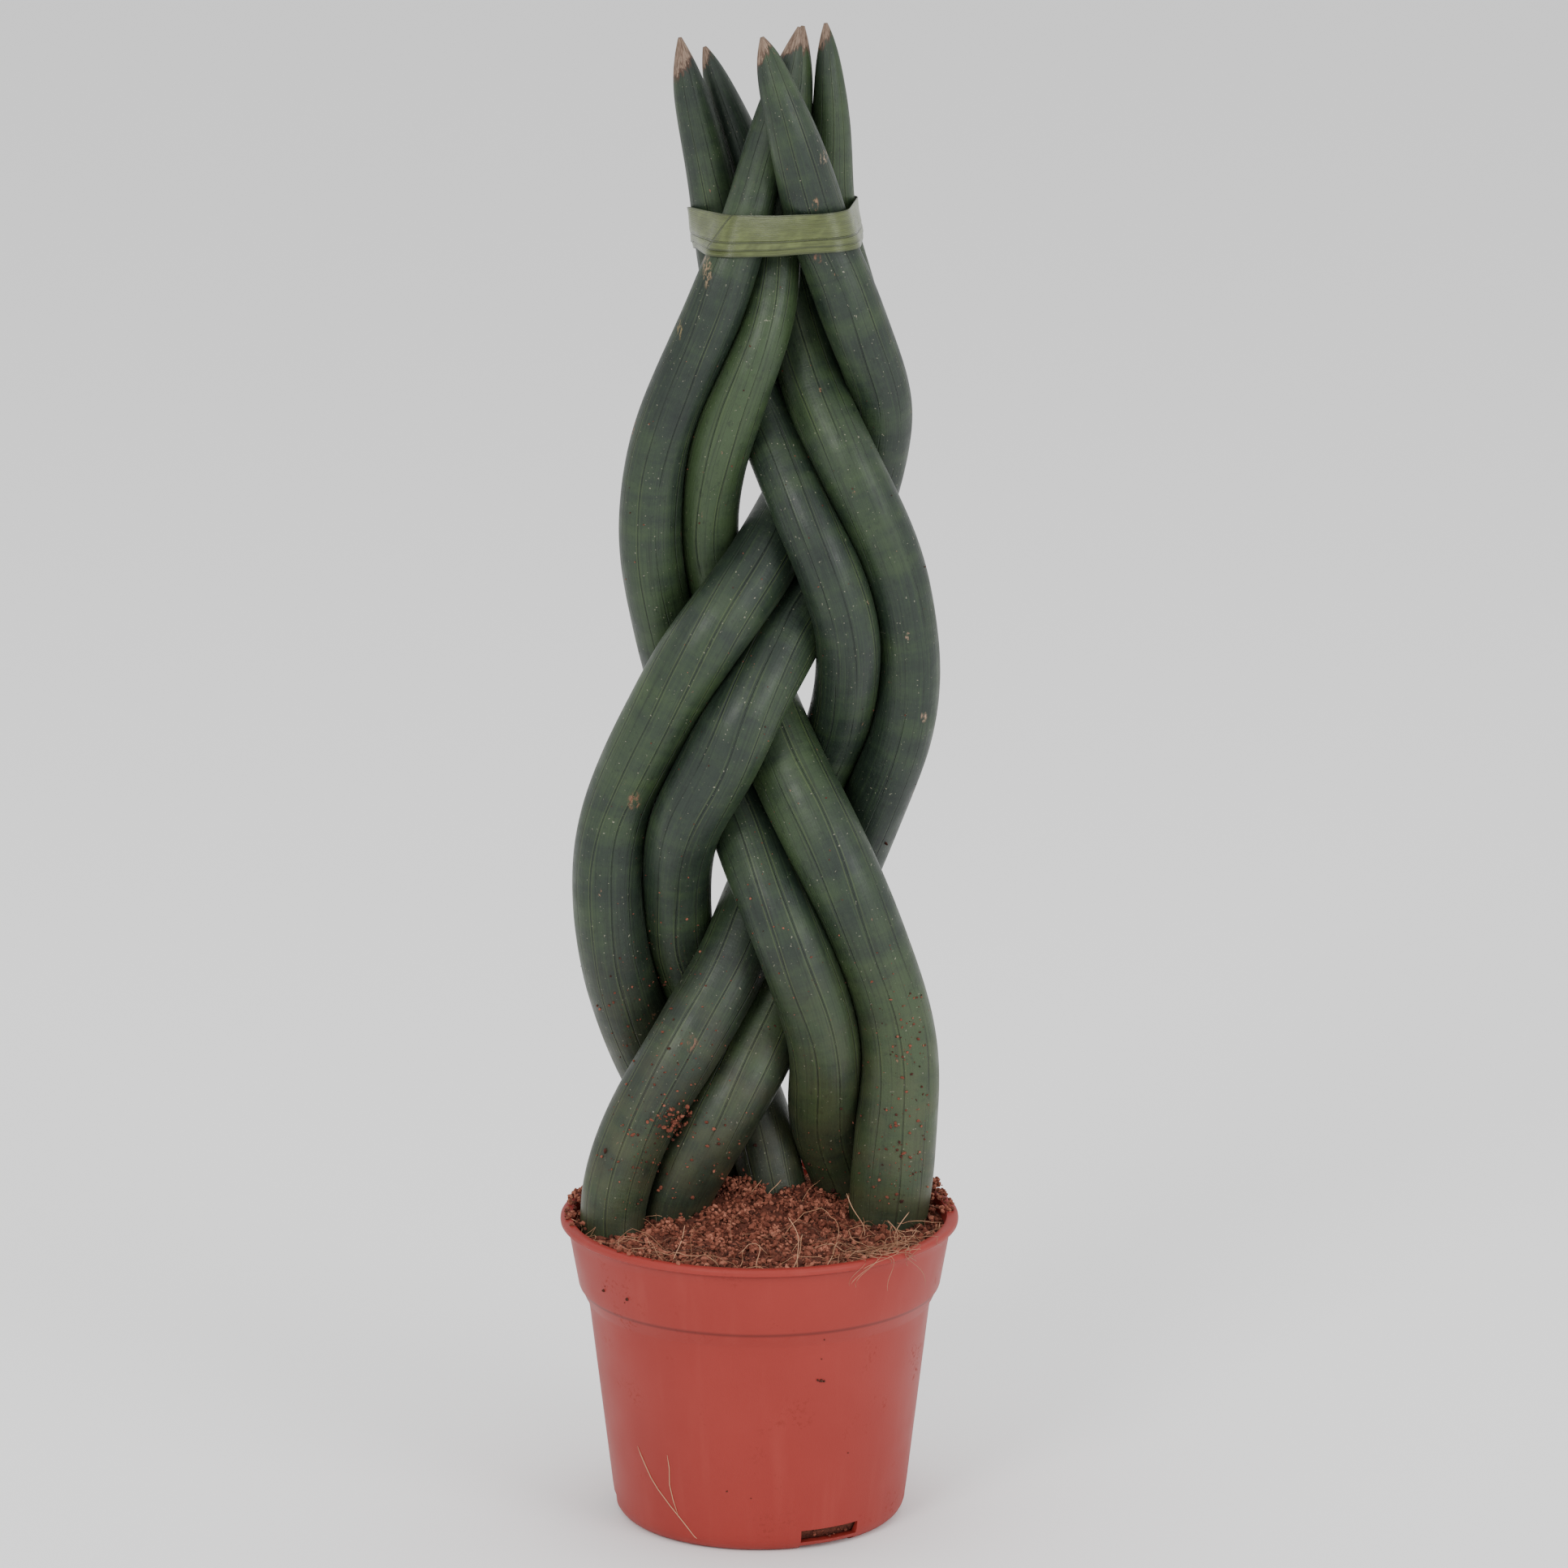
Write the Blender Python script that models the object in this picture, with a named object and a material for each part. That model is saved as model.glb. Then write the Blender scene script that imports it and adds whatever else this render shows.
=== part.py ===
"""Braided cylindrical snake plant in its nursery pot, built in metres with Z up.

The origin is the middle of the pot's base on the ground, X runs to the right across
the flat braid and -Y is its front. Driving dimensions are in millimetres.
"""
import math

import bmesh
import bpy
import numpy as np

MM = 0.001

# Pot, a 12 cm nursery pot of thin moulded plastic
RIM_R = 60.0
RIM_TOP = 93.0
LIP_LOW = 90.6
COLLAR_TOP_R = 57.6
COLLAR_LOW_R = 54.4
COLLAR_LOW_Z = 71.5
WALL_TOP_R = 51.6
WALL_TOP_Z = 67.0
WALL_LOW_R = 44.3
WALL_LOW_Z = 5.6
FOOT_R = 40.6
FOOT_IN_R = 34.0
FLOOR_LOW = 1.5
FLOOR_TOP = 2.7
WALL = 1.2
POT_SIDES = 60
SLOT_AZIMUTHS = (-61.0, 59.0, 179.0)
SLOT_HALF_DEG = 12.5
SLOT_TOP = 6.6

# Soil, heaped a little towards the back
SOIL_EDGE_Z = 88.6
SOIL_HEAP = 8.5
SOIL_RINGS = 11
SOIL_SIDES = 44
GAP = 0.3

# Leaves: each row is x, y, z of the middle line and the diameter there
LEAF_SIDES = 12
RING_STEP = 7.4
STATION = 3.6
REST_GAP = 0.6
PARTNERS = [("leaf_left_outer", "leaf_left_inner"), ("leaf_right_outer", "leaf_right_inner"),
            ("leaf_middle_front", "leaf_middle_back")]
# How freely a line moves in x, y and z where leaves cross and where partners touch
ACROSS_FREE = np.array([0.22, 1.0, 0.05])
SIDE_FREE = np.array([0.6, 0.7, 0.05])
HOLD_EARLY = np.array([0.995, 1.0, 0.99])
HOLD_LATE = np.array([0.9985, 1.0, 0.99])
TURNS = 2400
NEIGHBOUR = 40.0
CLOSE_GAP = 3.0
CLOSE_TOP = 370.0
LEAVES = {
    "leaf_left_outer": [
        (-39, 3, 66, 18), (-44, 1, 80, 19), (-46.5, 0, 93, 19), (-45, 0, 107, 20), (-37, 1, 127, 21),
        (-28, 3, 141, 21.5), (-20, 9, 153, 22), (-12, 16, 165, 21.5), (0, 25, 187, 21), (10, 26, 209, 20),
        (19.5, 21, 230, 19), (25.5, 15, 246, 18.5), (26.8, 11, 261, 18.5), (24.3, 6, 277, 18.5), (19, 2, 290, 18.5),
        (14.5, 1, 300, 17.5), (10, 4, 311, 17), (5, 11, 324, 16.5), (-1, 20, 340, 16.5), (-6, 20, 360, 16.5),
        (-10, 18, 377, 16), (-12.5, 17, 394, 14), (-15, 16, 407, 12.5), (-18, 14, 421, 11),
        (-20.5, 13, 431, 9), (-22, 13, 438, 6), (-23, 13, 446, 0)],
    "leaf_left_inner": [
        (-22, 15, 66, 18), (-25, 13, 80, 18.5), (-25, 11, 92, 19), (-22, 8, 103, 20.5), (-18, 4, 113, 21.5),
        (-13, 2, 124, 21.5), (-7.5, 3, 134, 21), (-2.5, 7, 143, 21.5), (7, 18, 159, 21.5), (17, 25, 175, 21),
        (26.5, 26, 191, 20), (33.5, 22, 208, 19), (38, 18, 223, 18.5), (41.5, 14, 239, 18),
        (42.5, 11, 254, 18), (41.5, 8, 269, 18), (38.5, 5, 285, 18.5), (34, 3, 300, 18.5), (29, 3, 314, 18.5),
        (23.5, 7, 327, 18.5), (18.5, 15, 338, 18), (14, 24, 350, 18), (10, 29, 371, 16),
        (5, 29, 386, 13.5), (-1, 27, 401, 12.5), (-6.5, 25, 417, 10.5), (-11, 24, 427, 8.5),
        (-14, 24, 435, 6), (-16, 24, 442, 0)],
    "leaf_right_outer": [
        (33, 12, 66, 21), (37, 9, 80, 23), (38.5, 8, 92, 23.5), (39, 8, 104, 24.5), (41, 8, 125, 23.5),
        (41.5, 7, 145, 22.5), (37.5, 4, 166, 21.5), (29.5, 1, 187, 22), (23, 1, 202, 23), (16, 6, 216, 23),
        (10, 12, 227, 22.5), (4, 18, 238, 22), (-2.5, 22, 252, 21), (-7.5, 21, 267, 19),
        (-11, 17, 281, 17.5), (-13.5, 14, 293, 17.5), (-14, 12, 305, 17), (-12.5, 8, 320, 17),
        (-8.5, 3, 334, 17), (-4.5, 1, 344, 16), (-1, 1, 353, 15), (2, 3, 363, 14.5), (3.5, 8, 374, 14.5),
        (4.5, 14, 386, 13.5), (7, 16, 406, 12.5), (9.5, 16, 423, 12), (11, 16, 434, 9.5),
        (12, 16, 442, 6), (13, 16, 449, 0)],
    "leaf_right_inner": [
        (20, 27, 66, 18), (24, 29, 80, 19), (25, 30, 96, 20), (20.5, 25, 110, 21.5), (19, 18, 122, 21.5),
        (20, 13, 133, 21), (19.5, 9, 145, 21), (17.5, 6, 155, 21.5), (14, 3, 166, 21.5), (10.5, 1, 177, 21.5),
        (6, 1, 187, 21), (1.5, 4, 196, 20), (-2.5, 10, 205, 20), (-8, 17, 218, 20),
        (-14.5, 22, 232, 19.5), (-21.5, 22, 247, 19), (-27, 18, 262, 18), (-30, 15, 277, 18),
        (-32, 12, 291, 18), (-32, 11, 303, 18), (-30.5, 9, 318, 17.5), (-27, 6, 333, 17),
        (-19, 3, 353, 17), (-10.5, 2, 372, 16.5), (-6, 3, 383, 15), (-2, 4, 396, 13.5), (1.5, 5, 410, 12.5),
        (5.5, 5, 424, 11), (8.5, 5, 434, 9), (10.5, 5, 443, 4.5), (12, 5, 450, 0)],
    "leaf_middle_back": [
        (-4, 31, 66, 18), (-6, 32, 82, 19), (-8, 32, 95, 20), (-13, 30, 107, 21), (-24, 26, 120, 21),
        (-32, 24, 130, 21), (-37, 22, 141, 21), (-41, 17, 155, 21), (-44, 13, 174, 20.5),
        (-44.5, 12, 192, 20.5), (-43.5, 11, 207, 20.5), (-39.5, 9, 224, 20), (-34, 5, 235, 20.5),
        (-26, 1, 251, 21), (-17, -1, 266, 21.5), (-11, 0, 276, 21), (-5, 6, 284, 20.5), (1, 14, 293, 20),
        (6.5, 21, 301, 19), (13, 26, 310, 18.5), (19, 30, 319, 17.5), (24, 32, 329, 17), (28, 31, 340, 16.5),
        (29.5, 28, 350, 16), (29, 25, 360, 15.5), (26, 22, 373, 15), (22.5, 21, 384, 14),
        (20, 21, 398, 14), (20.5, 19, 411, 12.5), (20.5, 16, 425, 10), (20, 15, 437, 7),
        (20, 15, 443, 5), (19.5, 15, 450, 0)],
    "leaf_middle_front": [
        (15, 9, 66, 17.5), (12, 10, 82, 18), (8, 12, 96, 18.5), (5.5, 14, 105, 19.5), (1, 18, 113, 19.5),
        (-5, 22, 123, 20), (-12.5, 23, 138, 20.5), (-18, 20, 157, 20.5), (-22, 15, 173, 20.5),
        (-24, 12, 190, 20), (-23, 9, 205, 20.5), (-20, 5, 216, 21.5), (-15, 2, 226, 22), (-9.5, -1, 236, 22.5),
        (-5.3, -2, 247, 21.5), (0.4, 0, 256, 20.6), (6, 4, 265, 20.6), (12.5, 11, 274, 20),
        (18, 18, 283, 19.5), (24, 23, 296, 19), (29.5, 22, 311, 18.5), (33, 21, 321, 18),
        (35, 18, 332, 18), (34, 13, 343, 17.5), (31.5, 8, 352, 17.5), (28, 4, 362, 18), (24.5, 3, 372, 18),
        (20.5, 4, 382, 17), (16.5, 4, 393, 17.5), (13.5, -1, 405, 16.5), (11, -5, 414, 15),
        (8, -7, 424, 13), (5, -7, 433, 10), (2.5, -6, 441, 7.5), (2, -6, 445, 5), (1, -6, 448, 0)],
}

# Ribbon: two turns, the outer one covers all but a narrow strip of the inner one
RIBBON_LOW = 384.2
RIBBON_STEP = 386.9
RIBBON_TOP = 395.6
RIBBON_TILT = 0.075
RIBBON_LEVEL_X = 5.0
RIBBON_INNER = 0.55
RIBBON_OUTER = 1.15
RIBBON_SIDES = 56


def clear_scene():
    """Empty the scene."""
    for obj in list(bpy.data.objects):
        bpy.data.objects.remove(obj, do_unlink=True)


def material(name, rgb, roughness):
    """Give a node its own plain surface."""
    mat = bpy.data.materials.new(name)
    mat.use_nodes = True
    shader = mat.node_tree.nodes["Principled BSDF"]
    shader.inputs["Base Color"].default_value = (*rgb, 1.0)
    shader.inputs["Roughness"].default_value = roughness
    return mat


def mesh_object(name, verts, faces, mat=None):
    """Make a mesh object from points in millimetres, with outward faces."""
    mesh = bpy.data.meshes.new(name)
    mesh.from_pydata([tuple(c * MM for c in v) for v in verts], [], faces)
    bm = bmesh.new()
    bm.from_mesh(mesh)
    bmesh.ops.recalc_face_normals(bm, faces=bm.faces)
    if bm.calc_volume(signed=True) < 0:
        bmesh.ops.reverse_faces(bm, faces=bm.faces)
    bm.to_mesh(mesh)
    bm.free()
    obj = bpy.data.objects.new(name, mesh)
    bpy.context.scene.collection.objects.link(obj)
    if mat is not None:
        mesh.materials.append(mat)
    return obj


def boolean(obj, cutter):
    """Cut one solid out of another and keep the result as its mesh."""
    mod = obj.modifiers.new("cut", "BOOLEAN")
    mod.operation = "DIFFERENCE"
    mod.solver = "EXACT"
    mod.object = cutter
    depsgraph = bpy.context.evaluated_depsgraph_get()
    mesh = bpy.data.meshes.new_from_object(obj.evaluated_get(depsgraph))
    obj.modifiers.clear()
    old = obj.data
    obj.data = mesh
    bpy.data.meshes.remove(old)
    bpy.data.objects.remove(cutter, do_unlink=True)


def turned(profile, sides):
    """Turn a closed (r, z) loop about Z; a point with r = 0 becomes one vertex."""
    verts, rows = [], []
    for r, z in profile:
        if r < 1e-6:
            rows.append([len(verts)] * sides)
            verts.append((0.0, 0.0, z))
            continue
        rows.append(list(range(len(verts), len(verts) + sides)))
        for i in range(sides):
            a = 2 * math.pi * i / sides
            verts.append((r * math.cos(a), r * math.sin(a), z))
    faces = []
    for k, row in enumerate(rows):
        nxt = rows[(k + 1) % len(rows)]
        for i in range(sides):
            j = (i + 1) % sides
            face = [row[i], row[j], nxt[j], nxt[i]]
            face = [v for n, v in enumerate(face) if v not in face[:n]]
            if len(face) > 2:
                faces.append(face)
    return verts, faces


def wall_radius(z):
    """Outer radius of the pot's wall at a height."""
    heights = [0.0, WALL_LOW_Z, WALL_TOP_Z, COLLAR_LOW_Z, LIP_LOW]
    radii = [FOOT_R, WALL_LOW_R, WALL_TOP_R, COLLAR_LOW_R, COLLAR_TOP_R]
    return float(np.interp(z, heights, radii))


def slot_block(azimuth, low, high, inner):
    """A wedge block that cuts one slot through the base corner."""
    verts = []
    for z in (low, high):
        for r in (inner, WALL_LOW_R + 4.0):
            for side in (-1, 1):
                a = math.radians(azimuth + side * SLOT_HALF_DEG)
                verts.append((r * math.cos(a), r * math.sin(a), z))
    faces = [(0, 1, 3, 2), (4, 6, 7, 5), (0, 4, 5, 1), (2, 3, 7, 6), (0, 2, 6, 4), (1, 5, 7, 3)]
    return mesh_object("slot", verts, faces)


def build_pot():
    """Pot with lip, collar, tapered wall, raised floor and three slots over its feet."""
    profile = [
        (0, FLOOR_LOW), (FOOT_IN_R, FLOOR_LOW), (FOOT_IN_R + 0.7, 0), (FOOT_R - 0.6, 0),
        (FOOT_R + 1.6, 1.0), (WALL_LOW_R - 0.7, 3.0), (WALL_LOW_R, WALL_LOW_Z),
        (WALL_TOP_R, WALL_TOP_Z), (COLLAR_LOW_R, COLLAR_LOW_Z), (COLLAR_TOP_R, LIP_LOW),
        (RIM_R - 0.3, LIP_LOW), (RIM_R, LIP_LOW + 0.4), (RIM_R, RIM_TOP - 0.5), (RIM_R - 0.5, RIM_TOP),
        (COLLAR_TOP_R - 0.6, RIM_TOP), (COLLAR_TOP_R - WALL, RIM_TOP - 0.6),
        (COLLAR_LOW_R - WALL, COLLAR_LOW_Z + 0.3), (WALL_TOP_R - WALL, WALL_TOP_Z + 0.3),
        (WALL_LOW_R - WALL, WALL_LOW_Z), (WALL_LOW_R - WALL - 1.6, FLOOR_TOP), (0, FLOOR_TOP)]
    verts, faces = turned(profile, POT_SIDES)
    pot = mesh_object("pot", verts, faces, material("pot", (0.42, 0.09, 0.07), 0.45))
    for azimuth in SLOT_AZIMUTHS:
        boolean(pot, slot_block(azimuth, -1.0, FLOOR_LOW - 0.01, FOOT_IN_R - 2.0))
        boolean(pot, slot_block(azimuth, FLOOR_TOP, SLOT_TOP, FOOT_R - 2.0))
    return pot


def soil_height(x, y):
    """Height of the soil: level at the front, heaped round the leaf bases and behind."""
    r = math.hypot(x, y)
    edge = max(0.0, 1.0 - (r / 55.0) ** 4)
    heap = math.exp(-((x + 2.0) / 33.0) ** 2 - ((y - 15.0) / 21.0) ** 2)
    lumps = 0.7 * math.sin(0.31 * x + 1.3) * math.cos(0.27 * y + 0.4) + 0.4 * math.sin(0.63 * x - 0.5 * y)
    return SOIL_EDGE_Z + edge * (SOIL_HEAP * heap + 0.6 + lumps)


def build_soil(tubes):
    """Soil that fills the pot, with a plain hole for each leaf base."""
    side = [(WALL_LOW_R - WALL - 1.9, FLOOR_TOP + GAP + 0.1),
            (WALL_LOW_R - WALL - GAP - 0.1, WALL_LOW_Z + 0.5),
            (WALL_TOP_R - WALL - GAP - 0.35, WALL_TOP_Z), (COLLAR_LOW_R - WALL - GAP - 0.35, COLLAR_LOW_Z + 0.6)]
    inner = np.interp(SOIL_EDGE_Z, [COLLAR_LOW_Z + 0.3, RIM_TOP - 0.6],
                      [COLLAR_LOW_R - WALL, COLLAR_TOP_R - WALL])
    top_r = float(inner) - GAP - 0.28
    verts, rows = [], []
    for r, z in side:
        rows.append(len(verts))
        for i in range(SOIL_SIDES):
            a = 2 * math.pi * i / SOIL_SIDES
            verts.append((r * math.cos(a), r * math.sin(a), z))
    for k in range(SOIL_RINGS):
        r = top_r * (1.0 - k / SOIL_RINGS)
        rows.append(len(verts))
        for i in range(SOIL_SIDES):
            a = 2 * math.pi * i / SOIL_SIDES
            x, y = r * math.cos(a), r * math.sin(a)
            verts.append((x, y, SOIL_EDGE_Z if k == 0 else soil_height(x, y)))
    verts.append((0.0, 0.0, soil_height(0.0, 0.0)))
    top = len(verts) - 1
    faces = [list(range(SOIL_SIDES))[::-1]]
    for low, high in zip(rows, rows[1:]):
        for i in range(SOIL_SIDES):
            j = (i + 1) % SOIL_SIDES
            faces.append((low + i, low + j, high + j))
            faces.append((low + i, high + j, high + i))
    for i in range(SOIL_SIDES):
        faces.append((rows[-1] + i, rows[-1] + (i + 1) % SOIL_SIDES, top))
    soil = mesh_object("soil", verts, faces, material("soil", (0.14, 0.06, 0.035), 0.95))
    for line, radius in tubes.values():
        boolean(soil, hole_block(line, radius))
    return soil


def catmull(rows, step):
    """Smooth line through route rows, cut into stations of equal length."""
    pts = np.array(rows, dtype=float)
    pts = np.vstack([2 * pts[0] - pts[1], pts, 2 * pts[-1] - pts[-2]])
    fine = []
    for p0, p1, p2, p3 in zip(pts, pts[1:], pts[2:], pts[3:]):
        for t in np.linspace(0, 1, 12, endpoint=False):
            fine.append(0.5 * (2 * p1 + (p2 - p0) * t + (2 * p0 - 5 * p1 + 4 * p2 - p3) * t ** 2
                               + (3 * p1 - p0 - 3 * p2 + p3) * t ** 3))
    fine.append(pts[-2])
    fine = np.array(fine)
    along = np.concatenate([[0], np.cumsum(np.linalg.norm(np.diff(fine[:, :3], axis=0), axis=1))])
    count = max(8, int(round(along[-1] / step)))
    at = np.linspace(0, along[-1], count + 1)
    return np.column_stack([np.interp(at, along, fine[:, k]) for k in range(4)])


def smooth(values, passes, ends=1):
    """Average each value with its neighbours and keep the ends."""
    out = values.copy()
    for _ in range(passes):
        mid = 0.25 * out[:-2] + 0.5 * out[1:-1] + 0.25 * out[2:]
        out[1:-1] = mid
        out[:ends] = values[:ends]
    return out


def relaxed_lines():
    """Bend the leaf lines clear of each other.

    Leaves that cross move apart front to back. The two leaves of a strand lie side by
    side, so they also move across, and a narrow gap between them closes.
    """
    lines = {}
    for name, rows in LEAVES.items():
        line = catmull(rows, STATION)
        line[:, :3] = smooth(line[:, :3], 3)
        lines[name] = line
    names = list(lines)
    start = np.vstack([lines[n][:, :3] for n in names])
    radius = np.concatenate([np.maximum(lines[n][:, 3], 0.5) / 2 for n in names])
    owner = np.concatenate([[k] * len(lines[n]) for k, n in enumerate(names)])
    strand = np.array([k for n in names for k, pair in enumerate(PARTNERS) if n in pair])[owner]
    cuts = np.cumsum([len(lines[n]) for n in names])[:-1]
    apart = np.sqrt(((start[:, None] - start[None, :]) ** 2).sum(2))
    other = owner[:, None] != owner[None, :]
    i, j = np.nonzero(np.triu(other & (apart < NEIGHBOUR)))
    crossing = strand[i] != strand[j]
    need = radius[i] + radius[j] + REST_GAP
    match = np.where(other & (strand[:, None] == strand[None, :]), apart, 99.0).argmin(1)
    touch = radius + radius[match] + REST_GAP
    closes = start[:, 2] < CLOSE_TOP
    pos = start.copy()
    for turn in range(TURNS):
        diff = pos[i] - pos[j]
        dist = np.linalg.norm(diff, axis=1)
        over = np.clip(need - dist, 0, None)
        if turn > 100 and over.max() < 0.03:
            break
        way = diff / dist[:, None]
        push = shove(i, j, over * crossing, way, len(pos)) * ACROSS_FREE
        push += shove(i, j, over * ~crossing, way, len(pos)) * SIDE_FREE
        reach = pos - pos[match]
        gap = np.linalg.norm(reach, axis=1) - touch
        pull = np.where(closes & (gap > 0) & (gap < CLOSE_GAP), gap, 0.0)
        push -= 0.2 * (pull / (gap + touch))[:, None] * reach * SIDE_FREE
        early = turn < TURNS // 2
        shift = (pos + 0.6 * push - start) * (HOLD_EARLY if early else HOLD_LATE)
        if early or turn % 3 == 0:
            shift = np.vstack([smooth(p, 1, 0) for p in np.split(shift, cuts)])
        pos = start + shift
        hold_in_pot(pos, radius)
    print("leaf lines moved up to, mm:", np.abs(pos - start).max(0).round(1), "in turns:", turn)
    rounds = zip(names, np.split(pos, cuts), np.split(radius, cuts))
    return {name: (part, rad) for name, part, rad in rounds}, float(over.max())


def shove(i, j, depth, way, count):
    """Mean push on each station away from what it overlaps, weighted by how deep."""
    total = np.zeros((count, 3))
    for axis in range(3):
        part = depth ** 2 * way[:, axis]
        total[:, axis] = np.bincount(i, part, count) - np.bincount(j, part, count)
    norm = np.bincount(i, depth, count) + np.bincount(j, depth, count)
    return total / np.maximum(norm, 1e-9)[:, None]


def hold_in_pot(pos, radius):
    """Keep the leaf bases inside the pot's wall."""
    for i in np.nonzero(pos[:, 2] < RIM_TOP + 4)[0]:
        limit = wall_radius(pos[i, 2] - 4) - WALL - radius[i] - 0.7
        reach = math.hypot(pos[i, 0], pos[i, 1])
        if reach > limit:
            pos[i, :2] *= limit / reach


def frames(line):
    """Tangents with two cross directions at each point of a line that climbs."""
    tangent = np.gradient(line, axis=0)
    tangent /= np.linalg.norm(tangent, axis=1)[:, None]
    side = np.array([1.0, 0, 0]) - tangent * tangent[:, :1]
    side /= np.linalg.norm(side, axis=1)[:, None]
    return tangent, side, np.cross(tangent, side)


def tube(line, radius, sides, round_base=True):
    """Closed tube along a line; a last radius near 0 makes a pointed tip."""
    tangent, side, back = frames(line)
    verts, faces = [], []
    for p, u, v, r in zip(line, side, back, radius):
        for i in range(sides):
            a = 2 * math.pi * i / sides
            verts.append(tuple(p + r * (math.cos(a) * u + math.sin(a) * v)))
    rings = len(line)
    for k in range(rings - 1):
        for i in range(sides):
            j = (i + 1) % sides
            a, b, c, d = k * sides + i, k * sides + j, (k + 1) * sides + j, (k + 1) * sides + i
            faces += [(a, b, c), (a, c, d)]
    reach = 0.25 * radius[0] if round_base else 0.0
    verts.append(tuple(line[0] - tangent[0] * reach))
    verts.append(tuple(line[-1] + tangent[-1] * 0.9 * radius[-1]))
    low, high = len(verts) - 2, len(verts) - 1
    for i in range(sides):
        j = (i + 1) % sides
        faces.append((low, j, i))
        faces.append((high, (rings - 1) * sides + i, (rings - 1) * sides + j))
    return verts, faces


def rings_of(line, radius):
    """Fewer stations for the solid: even steps, closer near the tip."""
    along = np.concatenate([[0], np.cumsum(np.linalg.norm(np.diff(line, axis=0), axis=1))])
    total = along[-1]
    at = list(np.linspace(0, total - 14.0, int((total - 14.0) / RING_STEP) + 1))
    at += [total - 9.5, total - 5.5, total - 2.6, total - 1.0]
    cols = [np.interp(at, along, line[:, k]) for k in range(3)]
    rad = np.interp(at, along, radius)
    tail = total - np.array(at)
    return np.column_stack(cols), np.where(tail < 6, np.minimum(rad, 0.75 + 0.4 * tail), rad)


def hole_block(line, radius):
    """Plain hole for a leaf base: its tube, wider and longer by the gap."""
    keep = line[:, 2] < RIM_TOP + 26
    part, rad = line[keep].copy(), radius[keep] + GAP + 0.12
    down = part[0] - part[1]
    part[0] += down / np.linalg.norm(down) * 0.8
    verts, faces = tube(part, rad, LEAF_SIDES)
    return mesh_object("hole", verts, faces)


def bundle_outline(lines, z, mid, at):
    """Taut outline round the six leaves at a height, as radii about a middle point."""
    centres, reach = [], []
    for line, radius in lines.values():
        tangent = frames(line)[0]
        lean = np.interp(z, line[:, 2], np.abs(tangent[:, 2]))
        centres.append([np.interp(z, line[:, 2], line[:, 0]), np.interp(z, line[:, 2], line[:, 1])])
        reach.append(np.interp(z, line[:, 2], radius) / lean)
    turn = np.linspace(0, 2 * math.pi, 240, endpoint=False)
    way = np.column_stack([np.cos(turn), np.sin(turn)])
    support = ((np.array(centres) - mid) @ way.T + np.array(reach)[:, None]).max(0)
    facing = np.cos(turn[None, :] - at[:, None])
    return np.where(facing > 0.15, support[None, :] / np.maximum(facing, 0.15), 1e9).min(1)


def ribbon_shift(x):
    """The ribbon climbs to the right."""
    return RIBBON_TILT * (x - RIBBON_LEVEL_X)


def build_ribbon(lines):
    """Closed band in two turns, a narrow strip of the inner turn showing below."""
    profile = [(RIBBON_LOW, 0.0), (RIBBON_LOW, RIBBON_INNER), (RIBBON_STEP, RIBBON_INNER),
               (RIBBON_STEP, RIBBON_OUTER), (RIBBON_TOP, RIBBON_OUTER), (RIBBON_TOP, 0.0),
               (RIBBON_STEP, 0.0)]
    middle = 0.5 * (RIBBON_LOW + RIBBON_TOP)
    mid = np.mean([[np.interp(middle, line[:, 2], line[:, k]) for k in (0, 1)]
                   for line, _ in lines.values()], axis=0)
    at = np.linspace(0, 2 * math.pi, RIBBON_SIDES, endpoint=False)
    levels = np.arange(RIBBON_LOW - 4, RIBBON_TOP + 5, 1.0)
    outlines = np.array([bundle_outline(lines, z, mid, at) for z in levels])
    verts, faces = [], []
    for z, out in profile:
        for a, radii in zip(at, outlines.T):
            shift = ribbon_shift(mid[0] + 20 * math.cos(a))
            beside = (levels > RIBBON_LOW + shift - 1.5) & (levels < RIBBON_TOP + shift + 1.5)
            reach = radii[beside].max() + GAP + 0.12 + out
            x, y = mid[0] + reach * math.cos(a), mid[1] + reach * math.sin(a)
            verts.append((x, y, z + ribbon_shift(x)))
    rows = len(profile)
    for k in range(rows):
        for i in range(RIBBON_SIDES):
            j, n = (i + 1) % RIBBON_SIDES, (k + 1) % rows
            a, b = k * RIBBON_SIDES + i, k * RIBBON_SIDES + j
            c, d = n * RIBBON_SIDES + j, n * RIBBON_SIDES + i
            faces += [(a, b, c), (a, c, d)]
    return mesh_object("ribbon", verts, faces, material("ribbon", (0.22, 0.28, 0.09), 0.4))


def build_leaves(lines):
    """One whole solid for each leaf."""
    tubes = {}
    for name, (line, radius) in lines.items():
        ring, rad = rings_of(line, radius)
        tubes[name] = (ring, rad)
        verts, faces = tube(ring, rad, LEAF_SIDES)
        pale = "right_outer" in name
        rgb = (0.11, 0.17, 0.08) if pale else (0.06, 0.10, 0.06)
        mesh_object(name, verts, faces, material(name, rgb, 0.5))
    return tubes


def main():
    clear_scene()
    lines, left = relaxed_lines()
    print("largest overlap left in the leaf lines, mm:", round(left, 3))
    tubes = build_leaves(lines)
    build_pot()
    build_soil(tubes)
    build_ribbon(lines)
    for obj in bpy.data.objects:
        for loop in obj.data.polygons:
            loop.use_smooth = False
    count = sum(len(p.vertices) - 2 for o in bpy.data.objects for p in o.data.polygons)
    print("triangles:", count)


main()
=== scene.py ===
"""Braided cylindrical snake plant in its nursery pot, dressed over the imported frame.

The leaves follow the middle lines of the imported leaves. The pot, the soil with its crumbs
and fibres, and the ribbon stand in the place of their plain solids.
"""
import math
import random

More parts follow.
